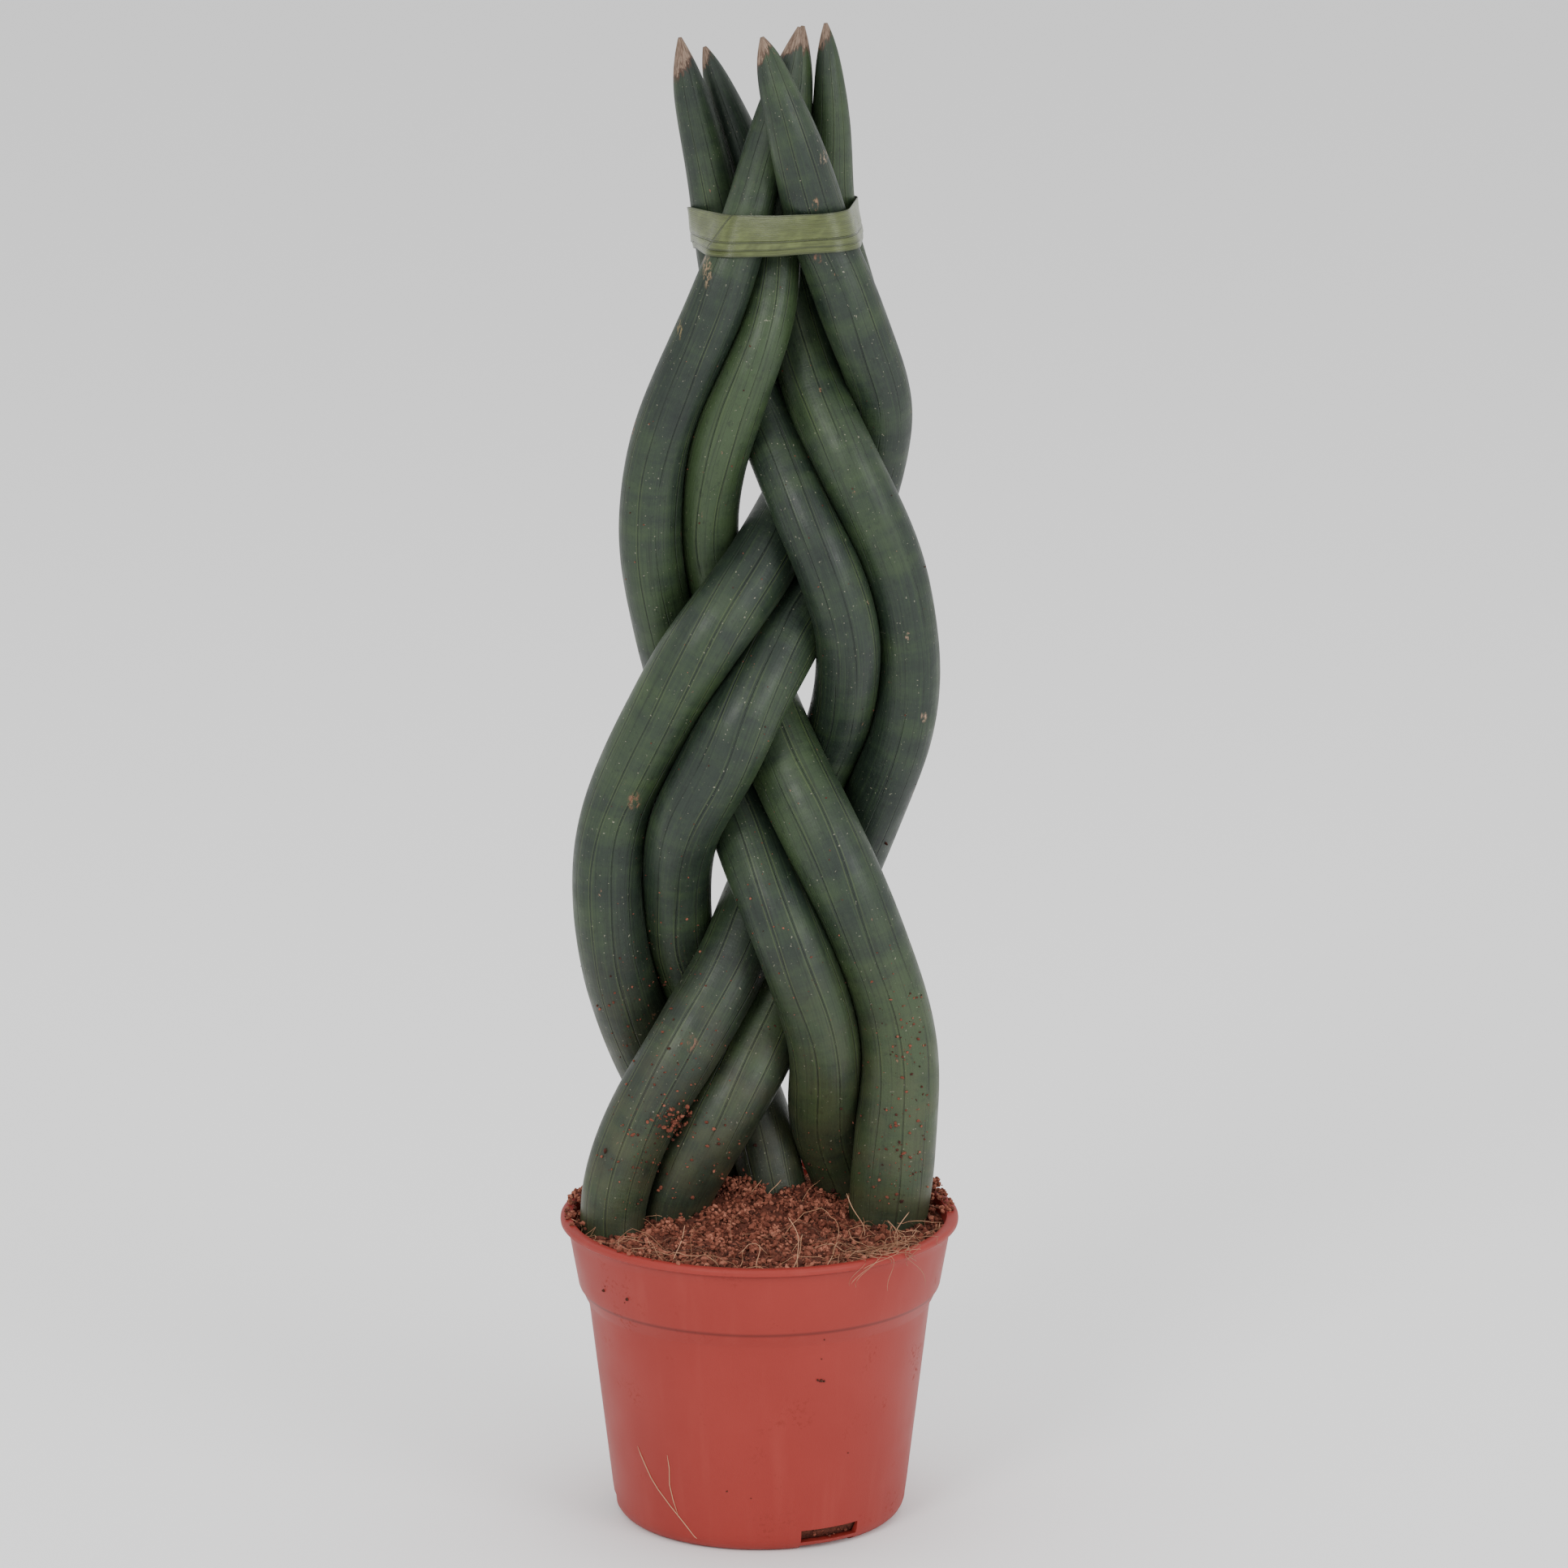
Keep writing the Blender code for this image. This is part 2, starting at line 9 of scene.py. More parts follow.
import bmesh
import bpy
import numpy as np
from bpy.props import FloatProperty, FloatVectorProperty, IntProperty, PointerProperty
from mathutils import Matrix, Vector, noise
from mathutils.bvhtree import BVHTree


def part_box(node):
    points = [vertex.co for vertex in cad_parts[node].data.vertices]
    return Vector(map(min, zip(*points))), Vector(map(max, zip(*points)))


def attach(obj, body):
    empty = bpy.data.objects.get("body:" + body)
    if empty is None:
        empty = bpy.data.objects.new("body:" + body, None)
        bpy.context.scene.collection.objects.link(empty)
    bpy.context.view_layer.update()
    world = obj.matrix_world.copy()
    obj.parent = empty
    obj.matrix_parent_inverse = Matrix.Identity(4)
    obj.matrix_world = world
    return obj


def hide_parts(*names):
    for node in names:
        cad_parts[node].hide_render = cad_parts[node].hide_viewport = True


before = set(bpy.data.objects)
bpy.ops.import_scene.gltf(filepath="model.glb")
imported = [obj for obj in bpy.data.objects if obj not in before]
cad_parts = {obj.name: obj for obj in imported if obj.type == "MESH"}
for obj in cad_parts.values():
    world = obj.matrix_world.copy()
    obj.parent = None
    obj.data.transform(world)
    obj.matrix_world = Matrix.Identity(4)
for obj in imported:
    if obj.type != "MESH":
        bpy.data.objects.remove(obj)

bl_info = {
    "name": "Braided Snake Plant",
    "version": (1, 0, 0),
    "blender": (4, 5, 0),
    "location": "3D View > Sidebar > Plait",
    "description": "Dresses the packed braided snake plant with leaf skin, soil, pot and ribbon",
    "category": "Object",
}

MM = 0.001
LEAF_NODES = ["leaf_left_outer", "leaf_left_inner", "leaf_middle_front",
              "leaf_middle_back", "leaf_right_inner", "leaf_right_outer"]
POT_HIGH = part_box("pot")[1]
RIM_R = POT_HIGH.x
RIM_TOP = POT_HIGH.z
SOIL_EDGE = 0.0886
PLANT_MIDDLE = Vector((0, 0, 0.22))
# Leaves are smooth below this height, inside the soil
SWELL_LOW = 0.08
# No strewn crumbs stick to a leaf below this height, where the soil lies against it
STREWN_LOW = 0.094

# The pot's turned profile below its lip: radius and height
COLLAR_TOP_R = 0.0576
COLLAR_LOW_R = 0.0544
COLLAR_LOW_Z = 0.0715
WALL_TOP_R = 0.0516
WALL_TOP_Z = 0.0670
WALL_LOW_R = 0.0443
WALL_LOW_Z = 0.0056
FOOT_R = 0.0406
FOOT_IN_R = 0.0340
FLOOR_LOW = 0.0015
FLOOR_TOP = 0.0027
SLOT_TOP = 0.0066
SLOT_AZIMUTHS = (-61.0, 59.0, 179.0)
SLOT_HALF_DEG = 12.5
WALL = 0.0012
SOIL_R = COLLAR_TOP_R - WALL - 0.0006

# Each leaf's look: turn of its groove lines, how pale it is, length of its dry tip
LEAF_LOOKS = {
    "leaf_left_outer": (0.3, 0.15, 0.0085),
    "leaf_left_inner": (1.9, 0.05, 0.0040),
    "leaf_middle_front": (0.9, 0.12, 0.0048),
    "leaf_middle_back": (2.6, 0.22, 0.0048),
    "leaf_right_inner": (1.4, 0.20, 0.0065),
    "leaf_right_outer": (0.6, 0.85, 0.0085),
}

# Wounds on a leaf: x, z, half width, half height and colour
WOUNDS = {
    "leaf_right_inner": [
        (-0.0149, 0.3800, 0.0016, 0.0060, "#8A7358"), (-0.0230, 0.3620, 0.0009, 0.0030, "#7A6A45")],
    "leaf_middle_front": [
        (0.0430, 0.3545, 0.0014, 0.0030, "#A08377"), (0.0172, 0.3830, 0.0014, 0.0016, "#7A5540"),
        (0.0165, 0.3995, 0.0010, 0.0024, "#8A6A50"), (0.0189, 0.4131, 0.0014, 0.0022, "#A08A72")],
    "leaf_middle_back": [(-0.0370, 0.2206, 0.0022, 0.0035, "#7A5540")],
    "leaf_left_outer": [
        (0.0300, 0.3120, 0.0016, 0.0020, "#7C8A78"), (-0.0200, 0.1480, 0.0020, 0.0030, "#6E4A38")],
    "leaf_left_inner": [
        (0.0490, 0.2441, 0.0010, 0.0020, "#A0806A"), (0.0440, 0.2700, 0.0009, 0.0015, "#A0806A")],
}


def linear(hex_colour):
    """An sRGB hex colour as linear red, green and blue."""
    parts = [int(hex_colour[i:i + 2], 16) / 255 for i in (1, 3, 5)]
    return tuple(c / 12.92 if c <= 0.04045 else ((c + 0.055) / 1.055) ** 2.4 for c in parts)


def rgba(colour):
    """A linear colour with full alpha."""
    return (*colour, 1.0)


def colour_setting(name, description, hex_colour):
    """A setting that holds a colour."""
    return FloatVectorProperty(name=name, description=description, subtype="COLOR",
                               default=linear(hex_colour))


def length_setting(name, description, default, least=0.0):
    """A setting that holds a length in metres."""
    return FloatProperty(name=name, description=description, default=default, min=least, unit="LENGTH")


# Settings

class PlaitLeafSettings(bpy.types.PropertyGroup):
    """Sizes and colours of the leaves"""

    ring_step: length_setting("Ring Step", "Distance between rings along a leaf", 0.0014, 0.0005)
    sides: IntProperty(name="Sides", description="Points around a leaf", default=44, min=12)
    touch: length_setting("Touch", "How much wider the skin is than the solid", 0.00036)
    uneven: length_setting("Uneven", "Height of the soft swellings of a leaf", 0.00020)
    deep: colour_setting("Deep Green", "Darkest bands of the skin", "#161F1B")
    green: colour_setting("Leaf Green", "Usual colour of the skin", "#1F2B21")
    pale: colour_setting("Pale Green", "Lightest patches of the skin", "#334329")
    groove: colour_setting("Groove", "Lines along a leaf", "#0B120D")
    dry: colour_setting("Dry Tip", "Dead skin at the point", "#948473")


class PlaitPotSettings(bpy.types.PropertyGroup):
    """Sizes and colours of the pot"""

    sides: IntProperty(name="Sides", description="Points around the pot", default=168, min=24)
    wall: length_setting("Wall", "Wall thickness", WALL, 0.0004)
    colour: colour_setting("Plastic", "Colour of the plastic", "#8D2F28")


class PlaitSoilSettings(bpy.types.PropertyGroup):
    """Amounts and colours of the soil"""

    crumbs: IntProperty(name="Crumbs", description="Loose crumbs on the soil", default=7600)
    clumps: IntProperty(name="Clumps", description="Heaps of stuck crumbs on the soil", default=330)
    fibres: IntProperty(name="Fibres", description="Loose fibres on the soil", default=150)
    dark: colour_setting("Dark Coir", "Colour in the hollows", "#301913")
    brown: colour_setting("Coir", "Usual colour of the coir", "#774233")
    light: colour_setting("Light Coir", "Colour of the drier crumbs", "#AD705B")
    fibre: colour_setting("Fibre", "Colour of the coir fibres", "#BC9070")


class PlaitRibbonSettings(bpy.types.PropertyGroup):
    """Size and colour of the ribbon"""

    width: length_setting("Width", "Width of the ribbon", 0.0102, 0.003)
    colour: colour_setting("Satin", "Colour of the satin", "#434B23")


class PlaitStageSettings(bpy.types.PropertyGroup):
    """Camera and light"""

    distance: FloatProperty(name="Distance", description="Camera in front of the pot's axis",
                            default=1.900, unit="LENGTH")
    height: FloatProperty(name="Height", description="Camera above the ground",
                          default=0.664, unit="LENGTH")
    tilt: FloatProperty(name="Tilt", description="Camera's angle below level",
                        default=math.radians(13.0), subtype="ANGLE")
    aside: FloatProperty(name="Aside", description="Camera to the right of the pot's axis",
                         default=0.0074, unit="LENGTH")
    lens: FloatProperty(name="Lens", description="Focal length in millimetres", default=150.8)


# Small makers

def set_inputs(tree, item, values):
    """Link each socket, and set each plain value on the input itself."""
    for key, value in values.items():
        socket = item.inputs[key]
        if isinstance(value, bpy.types.NodeSocket):
            tree.links.new(value, socket)
        else:
            socket.default_value = rgba(value) if socket.type == "RGBA" else value


def add_node(tree, kind, links=None, stops=(), **settings):
    """Add a shader node with its properties, its inputs and the stops of its colour ramp, if any."""
    item = tree.nodes.new("ShaderNode" + kind)
    for key, value in settings.items():
        setattr(item, key, value)
    set_inputs(tree, item, links or {})
    for k, (place, colour) in enumerate(stops):
        band = item.color_ramp.elements
        element = band[k] if k < len(band) else band.new(1.0)
        element.position = place
        element.color = rgba(colour)
    return item


def new_material(name):
    """An empty node material with its Principled shader."""
    mat = bpy.data.materials.new(name)
    mat.use_nodes = True
    return mat, mat.node_tree, mat.node_tree.nodes["Principled BSDF"]


def pattern(tree, place, per_metre, detail=3.0, rough=0.55):
    """Cloudy pattern with about this many features to the metre along each axis."""
    scaled = add_node(tree, "VectorMath", {0: place, 1: per_metre}, operation="MULTIPLY")
    links = {"Vector": scaled.outputs["Vector"], "Scale": 1.0, "Detail": detail, "Roughness": rough}
    return add_node(tree, "TexNoise", links).outputs["Fac"]


def cover(tree, *marks):
    """Share from 0 to 1 that is full where each value has gone from its first mark to its second."""
    whole = None
    for value, low, high, *ends in marks:
        least, most = ends or (0.0, 1.0)
        links = {"Value": value, "From Min": low, "From Max": high, "To Min": least, "To Max": most}
        part = add_node(tree, "MapRange", links, interpolation_type="SMOOTHSTEP").outputs["Result"]
        if whole is not None:
            part = add_node(tree, "Math", {0: whole, 1: part}, operation="MULTIPLY").outputs[0]
        whole = part
    return whole


def stain(tree, base, colour, share, over):
    """Lay a colour over the base where the cover lies, and at most by the share."""
    amount = add_node(tree, "Math", {0: over, 1: share}, operation="MULTIPLY").outputs[0]
    return add_node(tree, "Mix", {0: amount, 6: base, 7: colour}, data_type="RGBA").outputs[2]


def off_line(tree, value, line):
    """How far a value lies from a line, to either side."""
    gap = add_node(tree, "Math", {0: value, 1: line}, operation="SUBTRACT").outputs[0]
    return add_node(tree, "Math", {0: gap}, operation="ABSOLUTE").outputs[0]


def finish_surface(tree, shader, values, reliefs):
    """Fill the shader's inputs, then lay reliefs over each other: height, depth in metres, strength."""
    set_inputs(tree, shader, values)
    under = {}
    for height, depth, strength in reliefs:
        relief = add_node(tree, "Bump", {**under, "Height": height, "Distance": depth, "Strength": strength})
        under = {"Normal": relief.outputs["Normal"]}
    set_inputs(tree, shader, under)


def mesh_piece(name, verts, faces, material, smooth=True):
    """Make a mesh object that rides on the root body."""
    mesh = bpy.data.meshes.new(name)
    mesh.from_pydata([tuple(v) for v in verts], [], [tuple(f) for f in faces])
    mesh.materials.append(material)
    mesh.polygons.foreach_set("use_smooth", [smooth] * len(mesh.polygons))
    mesh.update()
    obj = bpy.data.objects.new(name, mesh)
    bpy.context.scene.collection.objects.link(obj)
    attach(obj, "root")
    return obj


def set_attribute(obj, name, kind, values):
    """Store one value or vector for each point."""
    layer = obj.data.attributes.new(name, kind, "POINT")
    field = "vector" if kind == "FLOAT_VECTOR" else "value"
    layer.data.foreach_set(field, np.asarray(values, dtype=np.float32).ravel())


def polar(r, angle):
    """A place at a radius and an angle, as x and y."""
    return r * math.cos(angle), r * math.sin(angle)


def between_rings(starts, sides):
    """Faces between rings of points, from the number of each ring's first point."""
    return [(a + i, a + (i + 1) % sides, b + (i + 1) % sides, b + i)
            for a, b in zip(starts, starts[1:]) for i in range(sides)]


def tube_faces(first, rings, sides):
    """Faces of a tube that is closed at both ends."""
    starts = range(first, first + rings * sides, sides)
    caps = [tuple(reversed(range(first, first + sides))), tuple(range(starts[-1], starts[-1] + sides))]
    return between_rings(starts, sides) + caps


def averaged(values, passes):
    """Average each row with its neighbours and keep both ends."""
    out = values.copy()
    for _ in range(passes):
        out[1:-1] = 0.25 * out[:-2] + 0.5 * out[1:-1] + 0.25 * out[2:]
    return out


def frames_along(line):
    """Tangents with two cross directions for a line that climbs."""
    tangent = np.gradient(line, axis=0)
    tangent /= np.linalg.norm(tangent, axis=1)[:, None]
    side = np.array([1.0, 0, 0]) - tangent * tangent[:, :1]
    side /= np.linalg.norm(side, axis=1)[:, None]
    return tangent, side, np.cross(tangent, side)


# Leaf lines from the frame

def cut_at(edges, z):
    """Centre and area of a solid's section at a height."""
    low, high = edges[:, 0], edges[:, 1]
    crosses = (low[:, 2] <= z) != (high[:, 2] <= z)
    a, b = low[crosses], high[crosses]
    t = (z - a[:, 2]) / (b[:, 2] - a[:, 2])
    p = (a + (b - a) * t[:, None])[:, :2]
    mid = p.mean(0)
    turn = np.argsort(np.arctan2(p[:, 1] - mid[1], p[:, 0] - mid[0]))
    q = p[turn] - mid
    r = np.roll(q, -1, axis=0)
    cross = q[:, 0] * r[:, 1] - r[:, 0] * q[:, 1]
    area = cross.sum() / 2
    centre = ((q + r) * cross[:, None]).sum(0) / (6 * area)
    return mid + centre, abs(area)


def leaf_line(node, step):
    """Middle line and radius of a packed leaf, from level sections of its solid."""
    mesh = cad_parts[node].data
    co = np.array([v.co for v in mesh.vertices])
    edges = co[np.array([e.vertices for e in mesh.edges])]
    low, high = co[:, 2].min(), co[:, 2].max()
    levels = np.arange(low + 0.0035, high - 0.0012, 0.0025)
    cuts = [cut_at(edges, z) for z in levels]
    line = np.array([[c[0], c[1], z] for (c, _), z in zip(cuts, levels)])
    area = np.array([a for _, a in cuts])
    line = averaged(line, 4)
    tangent = frames_along(line)[0]
    # A section of the twelve-sided solid has an area of 3 r2, wider where the leaf leans
    radius = np.sqrt(area * np.abs(tangent[:, 2]) / 3.0)
    tip = co[co[:, 2].argmax()]
    line = np.vstack([line, tip])
    radius = np.append(averaged(radius, 3), 0.0002)
    along = np.concatenate([[0], np.cumsum(np.linalg.norm(np.diff(line, axis=0), axis=1))])
    at = np.linspace(0, along[-1], int(along[-1] / step) + 1)
    line = np.column_stack([np.interp(at, along, line[:, k]) for k in range(3)])
    return averaged(line, 5), averaged(np.interp(at, along, radius), 4), at


def leaf_lines():
    """All leaf lines, worked out once."""
    if not LINES:
        step = bpy.context.scene.plait_leaf.ring_step
        for node in LEAF_NODES:
            LINES[node] = leaf_line(node, step)
    return LINES


LINES = {}


# Materials

def waxy_leaf_skin(node, turn, paleness):
    """Leaf cuticle: a tough skin with a dull waxy bloom that spreads its highlights."""
    own = bpy.context.scene.plait_leaf
    mat, tree, shader = new_material("waxy_leaf_skin_" + node)
    place = add_node(tree, "Attribute", attribute_name="skin").outputs["Vector"]
    to_tip = add_node(tree, "Attribute", attribute_name="to_tip").outputs["Fac"]
    xyz = add_node(tree, "SeparateXYZ", {"Vector": place}).outputs
    spot = add_node(tree, "TexCoord").outputs["Object"]
    height = add_node(tree, "SeparateXYZ", {"Vector": spot}).outputs["Z"]

    # Faint cross bands 8 to 15 mm long run round the leaf between larger soft patches
    bands = pattern(tree, place, (30, 30, 150), 5.0, 0.62)
    patches = pattern(tree, place, (45, 45, 18), 3.0, 0.5)
    tone = add_node(tree, "Math", {0: patches, 1: 0.58, 2: 0.16 * paleness}, operation="MULTIPLY_ADD")
    tone = add_node(tree, "Math", {0: bands, 1: 0.42, 2: tone.outputs[0]}, operation="MULTIPLY_ADD")
    stops = (0.36, own.deep), (0.50, own.green), (0.68, own.pale)
    base = add_node(tree, "ValToRGB", {"Fac": tone.outputs[0]}, stops).outputs["Color"]

    # Threads of lighter and darker tissue, half a millimetre apart, run along the leaf,
    # between small blotches a millimetre or two across
    thread = pattern(tree, place, (1900, 1900, 24), 2.0, 0.6)
    blotch = pattern(tree, place, (650, 650, 380), 3.0, 0.7)
    for value, low, high, colour, share in (
            (thread, 0.52, 0.74, own.pale, 0.42), (thread, 0.48, 0.28, own.groove, 0.45),
            (blotch, 0.54, 0.78, own.pale, 0.40), (blotch, 0.46, 0.24, own.groove, 0.50)):
        base = stain(tree, base, colour, share, cover(tree, (value, low, high)))

    # Long grooves about 6 mm apart, each with a pale vein beside it
    around = add_node(tree, "Math", {0: xyz["Y"], 1: xyz["X"]}, operation="ARCTAN2").outputs[0]
    sway = pattern(tree, place, (60, 60, 9), 2.0)
    lane = add_node(tree, "Math", {0: sway, 1: 1.3, 2: turn + 20.0}, operation="MULTIPLY_ADD").outputs[0]
    links = {0: around, 1: 10 / (2 * math.pi), 2: lane}
    lane = add_node(tree, "Math", links, operation="MULTIPLY_ADD").outputs[0]
    lane = add_node(tree, "Math", {0: lane, 1: 0.5}, operation="PINGPONG").outputs[0]
    broken = pattern(tree, place, (70, 70, 16), 2.0)
    vein = cover(tree, (off_line(tree, lane, 0.085), 0.024, 0.006), (broken, 0.42, 0.60))
    groove = cover(tree, (lane, 0.034, 0.010), (broken, 0.36, 0.46))

    # Brown corky scars one to three millimetres long, pale grains of dust, and a warm lighter film
    # over the lowest ten centimetres that is partly splashed soil and partly painted light
    scar = cover(tree, (pattern(tree, place, (260, 260, 150), 4.0, 0.65), 0.700, 0.735))
    dust = cover(tree, (pattern(tree, place, (1300, 1300, 1300), 1.0), 0.735, 0.775))
    low_dust_and_painted_light = cover(tree, (height, 0.200, 0.100),
                 (pattern(tree, place, (140, 140, 140), 4.0), 0.35, 0.65, 0.12, 0.38))
    for colour, share, over in (
            (linear("#5E6B38"), 0.30, vein), (own.groove, 0.5, groove), (linear("#7C5A45"), 0.80, scar),
            (linear("#8E8A78"), 0.6, dust), (linear("#4E4A32"), 1.0, low_dust_and_painted_light)):
        base = stain(tree, base, colour, share, over)

    # Single old wounds, specked with cork
    cork = pattern(tree, spot, (900, 900, 420), 3.0, 0.7)
    for x, z, wide, high, hex_colour in WOUNDS.get(node, ()):
        off = add_node(tree, "VectorMath", {0: spot, 1: (x, 0, z)}, operation="SUBTRACT").outputs[0]
        links = {0: off, 1: (1 / wide, 0, 1 / high)}
        off = add_node(tree, "VectorMath", links, operation="MULTIPLY").outputs[0]
        far = add_node(tree, "VectorMath", {0: off}, operation="LENGTH").outputs["Value"]
        wound = cover(tree, (far, 1.1, 0.5), (cork, 0.46, 0.60))
        base = stain(tree, base, linear(hex_colour), 0.85, wound)

    # The point is dead and dry behind a ragged brown edge
    rag = pattern(tree, place, (420, 420, 420))
    rag = add_node(tree, "Math", {0: rag, 1: 0.007, 2: -0.0035}, operation="MULTIPLY_ADD").outputs[0]
    reach = add_node(tree, "Math", {0: xyz["X"], 1: 0.30, 2: to_tip}, operation="MULTIPLY_ADD").outputs[0]
    reach = add_node(tree, "Math", {0: reach, 1: rag}, operation="ADD").outputs[0]
    length = LEAF_LOOKS[node][2]
    dead = cover(tree, (reach, length, length * 0.86))
    straw = stain(tree, own.dry, linear("#6A4E40"), 1.0, pattern(tree, place, (600, 600, 200)))
    straw = stain(tree, straw, linear("#46342A"), 0.8, cover(tree, (blotch, 0.46, 0.60)))
    base = stain(tree, base, linear("#4A3022"), 0.75, cover(tree, (reach, length * 1.18, length)))
    base = stain(tree, base, straw, 1.0, dead)

    rough = cover(tree, (pattern(tree, place, (160, 160, 160)), 0.3, 0.7, 0.40, 0.52))
    rough = add_node(tree, "Math", {0: dead, 1: 0.35, 2: rough}, operation="MULTIPLY_ADD").outputs[0]
    ridge = add_node(tree, "Math", {0: 1.0, 1: groove}, operation="SUBTRACT").outputs[0]
    pores = pattern(tree, place, (1500, 1500, 1500), 2.0)
    finish_surface(tree, shader, {"Base Color": base, "Roughness": rough, "IOR": 1.42},
                   [(pores, 0.00005, 1.0), (thread, 0.00010, 0.7), (bands, 0.0004, 0.45),
                    (ridge, 0.0003, 0.8)])
    return mat


def moulded_polypropylene():
    """Thin moulded polypropylene: satin skin, cloudy colour and scuffs of dried soil."""
    own = bpy.context.scene.plait_pot
    mat, tree, shader = new_material("moulded_polypropylene")
    place = add_node(tree, "TexCoord").outputs["Object"]
    height = add_node(tree, "SeparateXYZ", {"Vector": place}).outputs["Z"]
    cloud = pattern(tree, place, (26, 26, 26))
    streak = pattern(tree, place, (160, 160, 9), 2.0)
    # Dust lies in patches of about 15 mm, of grains near 0.5 mm
    dust = cover(tree, (pattern(tree, place, (70, 70, 70), 4.0), 0.56, 0.72),
                 (pattern(tree, place, (900, 900, 900), 2.0), 0.50, 0.66))
    colour = stain(tree, own.colour, linear("#822923"), 0.35, cover(tree, (cloud, 0.35, 0.7)))
    colour = stain(tree, colour, linear("#A0463D"), 0.18, cover(tree, (streak, 0.5, 0.8)))
    colour = stain(tree, colour, linear("#5A2B20"), 0.25, dust)
    # Painted shade: a dark line in the corners under the lip and under the collar
    for level, half in ((COLLAR_LOW_Z - 0.0004, 0.0010), (RIM_TOP - 0.0027, 0.0005)):
        line = cover(tree, (off_line(tree, height, level), half, 0.0))
        colour = stain(tree, colour, linear("#521A15"), 0.65, line)
    rough = cover(tree, (cloud, 0.3, 0.7, 0.46, 0.56))
    rough = add_node(tree, "Math", {0: dust, 1: 0.3, 2: rough}, operation="MULTIPLY_ADD").outputs[0]
    finish_surface(tree, shader, {"Base Color": colour, "Roughness": rough, "IOR": 1.49,
                                  "Specular IOR Level": 0.27},
                   [(pattern(tree, place, (2600, 2600, 2600), 2.0), 0.00003, 1.0),
                    (pattern(tree, place, (55, 55, 55), 2.0), 0.0003, 0.25)])
    return mat


def coir_pith(name="coir_pith"):
    """Crumbled coir pith: rough and matt, darker where it is moist."""
    own = bpy.context.scene.plait_soil
    mat, tree, shader = new_material(name)
    place = add_node(tree, "TexCoord").outputs["Object"]
    shade = add_node(tree, "Attribute", attribute_name="shade").outputs["Fac"]
    grain = pattern(tree, place, (700, 700, 700), 4.0, 0.7)
    tone = add_node(tree, "Math", {0: grain, 1: 0.7, 2: -0.35}, operation="MULTIPLY_ADD").outputs[0]
    tone = add_node(tree, "Math", {0: shade, 1: tone}, operation="ADD").outputs[0]
    stops = (0.05, own.dark), (0.45, own.brown), (0.95, own.light)
    colour = add_node(tree, "ValToRGB", {"Fac": tone}, stops).outputs["Color"]
    finish_surface(tree, shader, {"Base Color": colour, "Roughness": 0.95, "Specular IOR Level": 0.25},
                   [(grain, 0.0006, 0.9)])
    return mat


def coir_fibre():
    """Coir fibre: stiff plant hair with a slight gloss, straw to brown."""
    mat, tree, shader = new_material("coir_fibre")
    shade = add_node(tree, "Attribute", attribute_name="shade").outputs["Fac"]
    stops = (0.0, linear("#4E2D20")), (0.5, linear("#94684C")), (1.0, bpy.context.scene.plait_soil.fibre)
    colour = add_node(tree, "ValToRGB", {"Fac": shade}, stops).outputs["Color"]
    finish_surface(tree, shader, {"Base Color": colour, "Roughness": 0.55}, [])
    return mat


def woven_satin():
    """Polyester satin ribbon: long floating threads give a broad soft gloss."""
    own = bpy.context.scene.plait_ribbon
    mat, tree, shader = new_material("woven_satin")
    place = add_node(tree, "Attribute", attribute_name="cloth").outputs["Vector"]
    xyz = add_node(tree, "SeparateXYZ", {"Vector": place}).outputs
    # Real threads are 0.1 mm apart; they are drawn 0.4 mm apart so that they show
    threads = add_node(tree, "Math", {0: xyz["Y"], 1: 2 * math.pi / 0.0004}, operation="MULTIPLY").outputs[0]
    threads = add_node(tree, "Math", {0: threads}, operation="SINE").outputs[0]
    streak = pattern(tree, place, (110, 2200, 1))
    cloud = pattern(tree, place, (130, 130, 1), 2.0)
    # The long edges are darker; a pressed crease along the ribbon and one across it carry painted shade
    long_edges = cover(tree, (off_line(tree, xyz["Y"], 0.0), own.width * 0.43, own.width * 0.485))
    fold = cover(tree, (off_line(tree, xyz["Y"], -own.width * 0.27), 0.0004, 0.0001))
    slant = cover(tree, (off_line(tree, xyz["Z"], 0.5), 0.09, 0.03))
    crease = add_node(tree, "Math", {0: fold, 1: slant}, operation="MAXIMUM").outputs[0]
    colour = stain(tree, own.colour, linear("#5E6834"), 0.45, cover(tree, (streak, 0.35, 0.75)))
    colour = stain(tree, colour, linear("#727E48"), 0.4, cover(tree, (cloud, 0.5, 0.75)))
    # Painted shade in the creases, and the darker long edges
    for dark in (long_edges, crease):
        colour = stain(tree, colour, linear("#20270E"), 0.6, dark)
    proud = add_node(tree, "Math", {0: 1.0, 1: crease}, operation="SUBTRACT").outputs[0]
    finish_surface(tree, shader, {"Base Color": colour, "Roughness": 0.34, "Anisotropic": 0.7,
                                  "Anisotropic Rotation": 0.25, "Specular IOR Level": 0.6},
                   [(threads, 0.00003, 1.0), (streak, 0.0002, 0.5), (proud, 0.0003, 0.9)])
    return mat


# Pot

